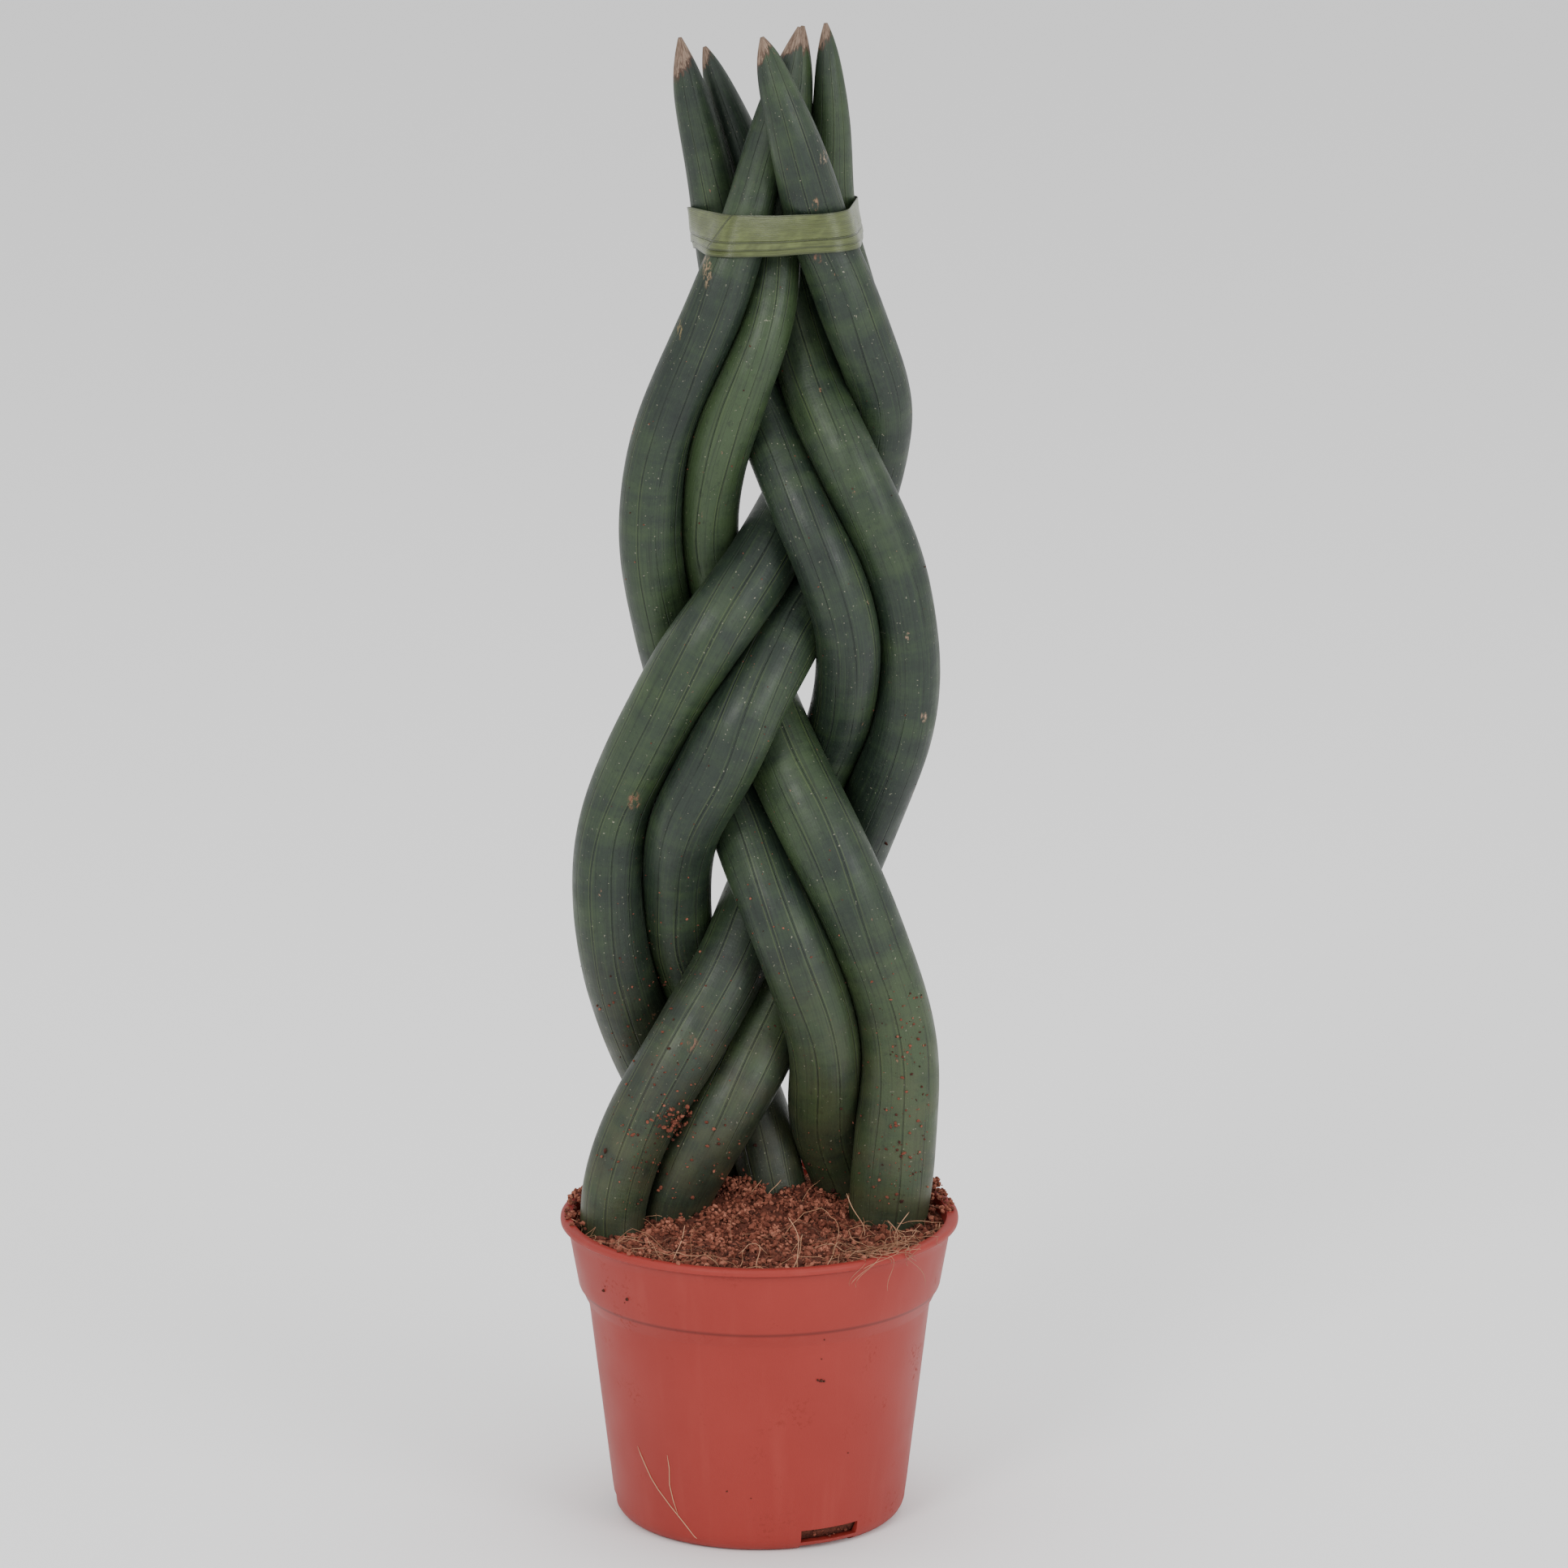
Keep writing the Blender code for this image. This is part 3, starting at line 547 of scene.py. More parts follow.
def pot_profile(wall):
    """Closed (r, z) loop of the pot's wall, with rounded lip, collar and base corner."""
    lip_low = RIM_TOP - 0.0024
    out = [(0.0, FLOOR_LOW), (FOOT_IN_R, FLOOR_LOW), (FOOT_IN_R + 0.0006, 0.0002),
           (FOOT_IN_R + 0.001, 0.0), (FOOT_R - 0.0008, 0.0)]
    corner = [(FOOT_R, 0.0001), (FOOT_R + 0.0012, 0.0006), (FOOT_R + 0.0022, 0.0015),
              (FOOT_R + 0.0030, 0.0028), (FOOT_R + 0.0035, 0.0043), (WALL_LOW_R, WALL_LOW_Z + 0.0006)]
    out += corner
    for k in range(1, 16):
        t = k / 16
        out.append((WALL_LOW_R + (WALL_TOP_R - WALL_LOW_R) * t,
                    WALL_LOW_Z + (WALL_TOP_Z - WALL_LOW_Z) * t))
    out += [(WALL_TOP_R, WALL_TOP_Z - 0.0006), (WALL_TOP_R + 0.0002, WALL_TOP_Z),
            (WALL_TOP_R + 0.0010, WALL_TOP_Z + 0.0013), (COLLAR_LOW_R - 0.0009, COLLAR_LOW_Z - 0.0012),
            (COLLAR_LOW_R - 0.0001, COLLAR_LOW_Z), (COLLAR_LOW_R + 0.0002, COLLAR_LOW_Z + 0.0008)]
    for k in range(1, 6):
        t = k / 6
        out.append((COLLAR_LOW_R + 0.0002 + (COLLAR_TOP_R - COLLAR_LOW_R) * t,
                    COLLAR_LOW_Z + 0.0008 + (lip_low - COLLAR_LOW_Z - 0.0012) * t))
    out += [(COLLAR_TOP_R + 0.0001, lip_low - 0.0004), (COLLAR_TOP_R + 0.0005, lip_low),
            (RIM_R - 0.0006, lip_low + 0.0001), (RIM_R - 0.0001, lip_low + 0.0005),
            (RIM_R, lip_low + 0.0011), (RIM_R - 0.0001, RIM_TOP - 0.0006),
            (RIM_R - 0.0006, RIM_TOP - 0.0001), (RIM_R - 0.0012, RIM_TOP),
            (COLLAR_TOP_R - 0.0002, RIM_TOP), (COLLAR_TOP_R - wall + 0.0001, RIM_TOP - 0.0004),
            (COLLAR_TOP_R - wall - 0.0001, RIM_TOP - 0.0012),
            (COLLAR_LOW_R - wall, COLLAR_LOW_Z + 0.0003), (WALL_TOP_R - wall, WALL_TOP_Z + 0.0003),
            (WALL_LOW_R - wall, WALL_LOW_Z), (WALL_LOW_R - wall - 0.0016, FLOOR_TOP), (0.0, FLOOR_TOP)]
    return out


def turned(profile, sides):
    """Points and faces of a closed (r, z) loop turned about Z."""
    verts, rows, faces = [], [], []
    for r, z in profile:
        if r < 1e-9:
            rows.append([len(verts)] * sides)
            verts.append((0.0, 0.0, z))
            continue
        rows.append(list(range(len(verts), len(verts) + sides)))
        verts += [(*polar(r, 2 * math.pi * i / sides), z) for i in range(sides)]
    for k, row in enumerate(rows):
        nxt = rows[(k + 1) % len(rows)]
        for i in range(sides):
            j = (i + 1) % sides
            face = [row[i], row[j], nxt[j], nxt[i]]
            face = [v for n, v in enumerate(face) if v not in face[:n]]
            if len(face) > 2:
                faces.append(face)
    return verts, faces


def slot_block(azimuth, low, high, inner):
    """A wedge that cuts one slot through the base corner."""
    verts = []
    for z in (low, high):
        for r in (inner, WALL_LOW_R + 0.004):
            for side in (-1, 1):
                verts.append((*polar(r, math.radians(azimuth + side * SLOT_HALF_DEG)), z))
    faces = [(0, 1, 3, 2), (4, 6, 7, 5), (0, 4, 5, 1), (2, 3, 7, 6), (0, 2, 6, 4), (1, 5, 7, 3)]
    mesh = bpy.data.meshes.new("slot")
    mesh.from_pydata(verts, [], faces)
    return outward(bpy.data.objects.new("slot", mesh))


def outward(obj):
    """Turn a closed mesh's faces outward."""
    bm = bmesh.new()
    bm.from_mesh(obj.data)
    bmesh.ops.recalc_face_normals(bm, faces=bm.faces)
    if bm.calc_volume(signed=True) < 0:
        bmesh.ops.reverse_faces(bm, faces=bm.faces)
    bm.to_mesh(obj.data)
    bm.free()
    return obj


def cut_away(obj, cutter):
    """Cut a block out of a mesh and keep the result."""
    bpy.context.scene.collection.objects.link(cutter)
    mod = obj.modifiers.new("cut", "BOOLEAN")
    mod.operation = "DIFFERENCE"
    mod.solver = "EXACT"
    mod.object = cutter
    depsgraph = bpy.context.evaluated_depsgraph_get()
    mesh = bpy.data.meshes.new_from_object(obj.evaluated_get(depsgraph))
    obj.modifiers.clear()
    obj.data = mesh
    bpy.data.objects.remove(cutter, do_unlink=True)


def sharpen(obj, degrees):
    """Smooth shading that stays crisp at edges sharper than the angle."""
    obj.data.polygons.foreach_set("use_smooth", [True] * len(obj.data.polygons))
    obj.data.set_sharp_from_angle(angle=math.radians(degrees))


def wall_radius(z):
    """Outer radius of the pot at a height."""
    heights = [0.0, 0.0015, 0.0043, WALL_LOW_Z, WALL_TOP_Z, COLLAR_LOW_Z,
               RIM_TOP - 0.0025, RIM_TOP - 0.0015]
    radii = [FOOT_R, FOOT_R + 0.0022, FOOT_R + 0.0035, WALL_LOW_R, WALL_TOP_R, COLLAR_LOW_R,
             COLLAR_TOP_R, RIM_R]
    return float(np.interp(z, heights, radii))


# Soil

def soil_height(x, y):
    """Height of the soil, in step with the solid, plus small lumps."""
    px, py = x / MM, y / MM
    r = math.hypot(px, py)
    edge = max(0.0, 1.0 - (r / 55.0) ** 4)
    heap = math.exp(-((px + 2.0) / 33.0) ** 2 - ((py - 15.0) / 21.0) ** 2)
    lumps = 0.7 * math.sin(0.31 * px + 1.3) * math.cos(0.27 * py + 0.4)
    lumps += 0.4 * math.sin(0.63 * px - 0.5 * py)
    rough = 1.3 * noise.fractal(Vector((px * 0.16, py * 0.16, 3.0)), 1.0, 2.0, 4)
    return SOIL_EDGE + MM * (edge * (8.5 * heap + 0.6 + lumps) + rough * min(1.0, (57.0 - r) / 6.0))


def ico():
    """Points and faces of a unit icosahedron."""
    bm = bmesh.new()
    bmesh.ops.create_icosphere(bm, subdivisions=1, radius=1.0)
    verts = [tuple(v.co) for v in bm.verts]
    faces = [tuple(v.index for v in f.verts) for f in bm.faces]
    bm.free()
    return verts, faces


ICO_VERTS, ICO_FACES = ico()


class Pile:
    """Crumbs or fibres that become one piece, with a shade for each point."""

    def __init__(self, rng):
        self.rng = rng
        self.verts, self.faces, self.shade = [], [], []

    def lump(self, centre, size):
        """Add one rough crumb, a shaken icosahedron."""
        rng, base = self.rng, len(self.verts)
        angle = rng.uniform(0, 6.28)
        turn = Matrix.Rotation(angle, 3, Vector((rng.gauss(0, 1), rng.gauss(0, 1), rng.gauss(0, 1))))
        squash = Vector((rng.uniform(0.7, 1.3), rng.uniform(0.6, 1.0), rng.uniform(0.5, 0.9)))
        for v in ICO_VERTS:
            p = turn @ Vector(v[k] * squash[k] * size * rng.uniform(0.75, 1.2) for k in range(3))
            self.verts.append(centre + p)
        self.faces += [tuple(base + i for i in f) for f in ICO_FACES]

    def hair(self, points, radius, sides=4):
        """Add one thin fibre along points, pointed at both ends."""
        last = len(points) - 1
        self.faces += tube_faces(len(self.verts), len(points), sides)
        for k, p in enumerate(points):
            ahead = points[min(k + 1, last)] - points[max(k - 1, 0)]
            ahead.normalize()
            side = ahead.cross(Vector((0.31, 0.17, 0.93))).normalized()
            up = ahead.cross(side)
            for i in range(sides):
                across, rise = polar(radius * (0.35 if k in (0, last) else 1.0), 2 * math.pi * i / sides)
                self.verts.append(p + side * across + up * rise)

    def tint(self, shade):
        """Give what was added last one shade, from dark to light."""
        self.shade += [shade] * (len(self.verts) - len(self.shade))

    def become(self, name, material, smooth=False):
        """Make the piece."""
        obj = mesh_piece(name, self.verts, self.faces, material, smooth)
        set_attribute(obj, "shade", "FLOAT", self.shade)


# Operators

class PLAIT_OT_stage(bpy.types.Operator):
    """Set the camera, the soft light and the pale floor"""

    bl_idname = "plait.stage"
    bl_label = "Stage"

    def execute(self, context):
        own = context.scene.plait_stage
        camera = bpy.data.objects.new("camera", bpy.data.cameras.new("camera"))
        camera.location = (own.aside, -own.distance, own.height)
        camera.rotation_euler = (math.pi / 2 - own.tilt, 0, 0)
        camera.data.lens = own.lens
        camera.data.clip_end = 50
        context.scene.collection.objects.link(camera)
        context.scene.camera = camera
        for name, place, size, power, colour in STUDIO_LIGHTS:
            light = bpy.data.lights.new(name, "AREA")
            light.shape = "RECTANGLE"
            light.size, light.size_y = size
            light.energy = power
            light.color = colour
            lamp = bpy.data.objects.new(name, light)
            lamp.location = place
            aim = PLANT_MIDDLE - Vector(place)
            lamp.rotation_euler = aim.to_track_quat("-Z", "Y").to_euler()
            context.scene.collection.objects.link(lamp)
        world = bpy.data.worlds.new("studio")
        world.use_nodes = True
        back = world.node_tree.nodes["Background"]
        back.inputs["Color"].default_value = (1, 1, 1, 1)
        back.inputs["Strength"].default_value = WORLD_STRENGTH
        context.scene.world = world
        self.floor(context)
        return {"FINISHED"}

    def floor(self, context):
        """Wide pale floor."""
        half = 12.0
        mesh = bpy.data.meshes.new("floor")
        mesh.from_pydata([(-half, -half, 0), (half, -half, 0), (half, half, 0), (-half, half, 0)],
                         [], [(0, 1, 2, 3)])
        # Uncoated paper is matt, so it mirrors nothing
        mat, tree, shader = new_material("matt_white_paper")
        set_inputs(tree, shader, {"Base Color": linear("#FAFAFA"), "Roughness": 0.9})
        mesh.materials.append(mat)
        floor = bpy.data.objects.new("floor", mesh)
        context.scene.collection.objects.link(floor)


WORLD_STRENGTH = 1.05
STUDIO_LIGHTS = [
    ("key_softbox", (-1.0, -1.9, 1.5), (0.7, 0.7), 22.0, (1.0, 0.99, 0.98)),
    ("fill_softbox", (1.5, -1.5, 0.9), (0.9, 0.9), 18.0, (0.98, 0.99, 1.0)),
    ("top_softbox", (0.1, 0.2, 2.2), (1.2, 1.2), 12.0, (1.0, 1.0, 1.0)),
]


class PLAIT_OT_leaves(bpy.types.Operator):
    """Grow the six leaves over their solids"""

    bl_idname = "plait.leaves"
    bl_label = "Leaves"

    def execute(self, context):
        for node in LEAF_NODES:
            self.leaf(context.scene.plait_leaf, node)
        return {"FINISHED"}

    def leaf(self, own, node):
        """One leaf skin with its own groove lines, bands and dry tip."""
        line, radius, along = leaf_lines()[node]
        turn, paleness, _ = LEAF_LOOKS[node]
        _, side, back = frames_along(line)
        angle = np.linspace(0, 2 * math.pi, own.sides, endpoint=False)
        above = np.clip((line[:, 2] - SWELL_LOW) / 0.02, 0, 1)
        tail = np.clip((along[-1] - along) / 0.02, 0, 1)
        verts, skin, to_tip = [], [], []
        for k in range(len(line)):
            for a in angle:
                swell = noise.noise(Vector((*polar(1.1, a), along[k] * 32 + turn * 9)))
                flute = 0.35 * math.cos(3 * a + turn * 4 + along[k] * 6)
                r = radius[k] + above[k] * (own.touch + own.uneven * (swell + flute) * tail[k])
                way = math.cos(a) * side[k] + math.sin(a) * back[k]
                verts.append(line[k] + r * way)
                skin.append((*polar(0.009, a), along[k] + turn))
                to_tip.append(along[-1] - along[k])
        faces = tube_faces(0, len(line), own.sides)
        obj = mesh_piece("skin_" + node, verts, faces, waxy_leaf_skin(node, turn, paleness))
        set_attribute(obj, "skin", "FLOAT_VECTOR", skin)
        set_attribute(obj, "to_tip", "FLOAT", to_tip)
        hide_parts(node)


class PLAIT_OT_pot(bpy.types.Operator):
    """Turn the pot and cut its slots"""

    bl_idname = "plait.pot"
    bl_label = "Pot"

    def execute(self, context):
        own = context.scene.plait_pot
        verts, faces = turned(pot_profile(own.wall), own.sides)
        pot = mesh_piece("nursery_pot", verts, faces, moulded_polypropylene())
        outward(pot)
        for azimuth in SLOT_AZIMUTHS:
            cut_away(pot, slot_block(azimuth, -0.001, FLOOR_LOW - 0.00001, FOOT_IN_R - 0.002))
            cut_away(pot, slot_block(azimuth, FLOOR_TOP, SLOT_TOP, FOOT_R - 0.002))
        sharpen(pot, 40)
        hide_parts("pot")
        return {"FINISHED"}


class PLAIT_OT_soil(bpy.types.Operator):
    """Fill the pot with coir and strew crumbs over it"""

    bl_idname = "plait.soil"
    bl_label = "Soil"

    def execute(self, context):
        own = context.scene.plait_soil
        mat = coir_pith()
        self.bed(mat)
        self.crumbs(own, mat)
        return {"FINISHED"}

    def bed(self, mat):
        """The body of the soil with a rough top."""
        sides, rings = 150, 60
        wall = WALL + 0.0004
        turns = [2 * math.pi * i / sides for i in range(sides)]
        verts = []
        for r, z in ((WALL_LOW_R - wall - 0.0015, FLOOR_TOP + 0.0003),
                     (WALL_LOW_R - wall, WALL_LOW_Z + 0.0005), (WALL_TOP_R - wall, WALL_TOP_Z),
                     (COLLAR_LOW_R - wall, COLLAR_LOW_Z + 0.0006)):
            verts += [(*polar(r, a), z) for a in turns]
        for k in range(rings):
            places = [polar(SOIL_R * (1 - k / rings), a) for a in turns]
            verts += [(x, y, soil_height(x, y)) for x, y in places]
        starts = range(0, len(verts), sides)
        faces = [tuple(reversed(range(sides)))] + between_rings(starts, sides)
        faces += [(starts[-1] + i, starts[-1] + (i + 1) % sides, len(verts)) for i in range(sides)]
        verts.append((0, 0, soil_height(0, 0)))
        bed = mesh_piece("soil_bed", verts, faces, mat)
        set_attribute(bed, "shade", "FLOAT", [0.22] * len(verts))
        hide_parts("soil")

    def crumbs(self, own, mat):
        """Loose crumbs, many small ones and a few large, then clumps and heaps at the rim."""
        rng = random.Random(11)
        loose = Pile(rng)
        reach = SOIL_R - 0.0006
        for _ in range(own.crumbs):
            r = reach * math.sqrt(rng.random())
            x, y = polar(r, rng.uniform(0, 2 * math.pi))
            size = 0.00032 + 0.0010 * rng.random() ** 2.8
            loose.lump(Vector((x, y, soil_height(x, y) + size * rng.uniform(-0.3, 0.9))), size)
            loose.tint(rng.uniform(0.1, 0.75))
        loose.become("soil_crumbs", mat)
        stuck = Pile(rng)
        for _ in range(own.clumps):
            x, y = rng.gauss(-0.002, 0.026), rng.gauss(0.002, 0.026)
            if math.hypot(x, y) < reach - 0.003:
                self.clump(stuck, x, y, 1.0)
        for x, y, count in MOUNDS:
            for _ in range(count):
                self.clump(stuck, rng.gauss(x, 0.003), rng.gauss(y, 0.003), 1.9)
        for angle, spread, height, count in RIM_HEAPS:
            for _ in range(count):
                self.on_rim(stuck, math.radians(angle), math.radians(spread), height)
        for azimuth in SLOT_AZIMUTHS:
            for _ in range(40):
                a = math.radians(azimuth + rng.uniform(-0.9, 0.9) * SLOT_HALF_DEG)
                x, y = polar(rng.uniform(0.0405, 0.0425), a)
                z = rng.uniform(FLOOR_TOP + 0.0004, SLOT_TOP - 0.0010)
                stuck.lump(Vector((x, y, z)), rng.uniform(0.0003, 0.0008))
                stuck.tint(rng.uniform(0.1, 0.6))
        stuck.become("soil_clumps", mat)

    def clump(self, pile, x, y, rise):
        """A few crumbs stuck together, standing a little proud of the soil."""
        rng = pile.rng
        wide = rng.uniform(0.0007, 0.0019)
        tone = rng.uniform(0.25, 0.85)
        for _ in range(rng.randint(10, 26)):
            px, py = x + rng.gauss(0, wide), y + rng.gauss(0, wide)
            if math.hypot(px, py) > SOIL_R - 0.001:
                continue
            near = math.exp(-((px - x) ** 2 + (py - y) ** 2) / (2 * wide * wide))
            z = soil_height(px, py) + near * wide * rise * rng.uniform(0.2, 1.5)
            pile.lump(Vector((px, py, z)), rng.uniform(0.0003, 0.0009))
            pile.tint(tone + rng.uniform(-0.2, 0.25))

    def on_rim(self, pile, angle, spread, height):
        """One crumb of a heap that leans on the rim."""
        rng = pile.rng
        a = angle + rng.gauss(0, 0.5) * spread
        r = rng.uniform(0.050, 0.0588)
        x, y = polar(r, a)
        low = soil_height(x, y) if r < 0.0555 else RIM_TOP
        crest = RIM_TOP + height * math.exp(-((a - angle) / spread) ** 2)
        top = low + (crest - low) * min(1.0, (r - 0.048) / 0.007)
        size = rng.uniform(0.0003, 0.0010)
        z = low + (top - low) * math.sqrt(rng.random()) + 0.3 * size
        pile.lump(Vector((x, y, z)), size)
        pile.tint(rng.uniform(0.2, 0.8))


# Mounds of clumps on the soil: x, y, clumps
MOUNDS = [(-0.0060, 0.0080, 16), (-0.0010, 0.0110, 12), (0.0250, 0.0060, 14), (-0.0270, -0.0100, 8),
          (0.0120, -0.0020, 8), (-0.0150, -0.0060, 8)]
# Heaps that lean on the rim: angle from the right in degrees, spread, height over the rim, crumbs
RIM_HEAPS = [
    (21.0, 6.0, 0.0040, 190), (34.0, 12.0, 0.0014, 170), (4.0, 9.0, 0.0010, 60),
    (166.0, 8.0, 0.0022, 130), (150.0, 14.0, 0.0012, 170), (184.0, 9.0, 0.0006, 50),
    (-48.0, 12.0, 0.0003, 50), (-130.0, 16.0, 0.0003, 50),
]


class PLAIT_OT_fibres(bpy.types.Operator):
    """Lay loose coir fibres over the soil, the rim and the pot"""

    bl_idname = "plait.fibres"
    bl_label = "Fibres"

    def execute(self, context):
        own = context.scene.plait_soil
        rng = random.Random(23)
        pile = Pile(rng)
        for _ in range(own.fibres):
            r = SOIL_R * math.sqrt(rng.uniform(0.1, 1.0))
            self.strand(pile, *polar(r, rng.uniform(0, 2 * math.pi)))
        for _ in range(15):
            self.over_rim(pile, math.radians(rng.gauss(-45, 6)))
        for low, high, count in ((-172, -112, 10), (-60, 0, 9)):
            for _ in range(count):
                self.along_rim(pile, math.radians(rng.uniform(low, high)))
        for _ in range(34):
            self.strand(pile, rng.gauss(0.036, 0.005), rng.gauss(-0.033, 0.004))
        for x, y, height, lean in UPRIGHT:
            self.upright(pile, x, y, height, lean)
        for path in POT_FIBRES:
            pile.hair([outside_pot(azimuth, z, 0.00012) for azimuth, z in path], 0.00014)
            pile.tint(0.95)
        pile.become("soil_fibres", coir_fibre(), smooth=True)
        return {"FINISHED"}

    def strand(self, pile, x, y):
        """One curved fibre that lies on the soil or arches over it."""
        rng, steps, points = pile.rng, 14, []
        length = rng.uniform(0.006, 0.030)
        heading = rng.uniform(0, 2 * math.pi)
        bend = rng.gauss(0, 90)
        lift = rng.random() ** 2 * 0.005 + (0.004 if rng.random() > 0.95 else 0.0)
        limit = SOIL_R - 0.0004
        for k in range(steps + 1):
            rise = lift * math.sin(math.pi * k / steps) + 0.0006
            r = math.hypot(x, y)
            if r > limit:
                x, y = x * limit / r, y * limit / r
            points.append(Vector((x, y, soil_height(x, y) + rise)))
            heading += bend * length / steps + rng.gauss(0, 0.12)
            x += math.cos(heading) * length / steps
            y += math.sin(heading) * length / steps
        pile.hair(points, rng.uniform(0.00005, 0.00012))
        pile.tint(rng.random() ** 1.3)

    def upright(self, pile, x, y, height, lean):
        """One wavy fibre that stands in the soil."""
        steps, phase, points = 14, pile.rng.uniform(0, 6.28), []
        ground = soil_height(x, y)
        for k in range(steps + 1):
            t = k / steps
            wave = 0.0007 * math.sin(phase + 6 * t)
            points.append(Vector((x + lean * t * t + wave, y + 0.002 * t + wave,
                                  ground - 0.001 + height * t)))
        pile.hair(points, 0.00013)
        pile.tint(pile.rng.uniform(0.7, 1.0))

    def over_rim(self, pile, angle):
        """One fibre of the tangle that hangs over the rim."""
        rng, steps, points = pile.rng, 20, []
        start = rng.uniform(0.040, 0.052)
        drop = rng.uniform(-0.003, 0.014)
        swing, wave, phase = rng.gauss(0, 0.12), rng.uniform(0.02, 0.06), rng.uniform(0, 6.28)
        ground = soil_height(*polar(start, angle))
        for k in range(steps + 1):
            t = k / steps
            climb = min(1.0, t / 0.5)
            r = start + (0.0607 - start) * math.sin(climb * math.pi / 2)
            z = ground + (RIM_TOP + 0.0012 - ground) * climb + 0.003 * math.sin(math.pi * climb)
            if t > 0.5:
                z = RIM_TOP + 0.0012 - drop * ((t - 0.5) / 0.5) ** 1.4
                r = max(r, wall_radius(z) + 0.0003) if z < RIM_TOP else r
            a = angle + swing * t + wave * math.sin(phase + 9 * t)
            points.append(Vector((*polar(r, a), z)))
        pile.hair(points, rng.uniform(0.00006, 0.00010))
        pile.tint(rng.uniform(0.3, 0.85))

    def along_rim(self, pile, angle):
        """One fibre that leans on the rim from inside and runs along it."""
        rng, steps, points = pile.rng, 16, []
        span = rng.uniform(0.15, 0.55)
        base, lift = rng.uniform(0.046, 0.0555), rng.uniform(0.0005, 0.0045)
        wave, phase = rng.uniform(0.0006, 0.0030), rng.uniform(0, 6.28)
        for k in range(steps + 1):
            t = k / steps
            x, y = polar(min(0.0570, base + wave * math.sin(phase + 7 * t)), angle + span * t)
            low = soil_height(x, y) + 0.0004
            points.append(Vector((x, y, low + lift * math.sin(math.pi * t) ** 0.7)))
        pile.hair(points, rng.uniform(0.00006, 0.00012))
        pile.tint(rng.uniform(0.3, 1.0))


# Fibres that stand in the soil: x, y, height, lean to the right
UPRIGHT = [
    (-0.0250, -0.046, 0.014, 0.0035), (0.0000, -0.049, 0.009, -0.0005), (0.0120, -0.043, 0.016, -0.0030),
    (0.0105, -0.046, 0.012, 0.0030), (0.0310, -0.016, 0.014, -0.0050), (0.0400, -0.030, 0.013, 0.0040),
    (0.0415, -0.030, 0.011, -0.0030), (-0.0530, -0.010, 0.006, -0.0030), (-0.0020, 0.006, 0.006, 0.0020),
    (0.0030, 0.004, 0.006, 0.0030), (-0.0060, -0.044, 0.007, 0.0025), (0.0200, -0.045, 0.009, 0.0040),
]


def outside_pot(azimuth, z, off):
    """A point just off the pot's outside; the azimuth is from the front, in degrees."""
    return Vector((*polar(wall_radius(z) + off, math.radians(azimuth - 90)), z))


# Fibres stuck to the pot: azimuth from the front in degrees, height
POT_FIBRES = [
    [(-50.5, 0.029), (-49.0, 0.0265), (-47.0, 0.0235), (-44.5, 0.020), (-41.5, 0.017), (-36.0, 0.0125),
     (-31.0, 0.0085), (-26.0, 0.0038), (-22.0, 0.0012)],
    [(-35.5, 0.029), (-35.0, 0.025), (-35.5, 0.0195), (-34.5, 0.015), (-32.5, 0.0095)],
]


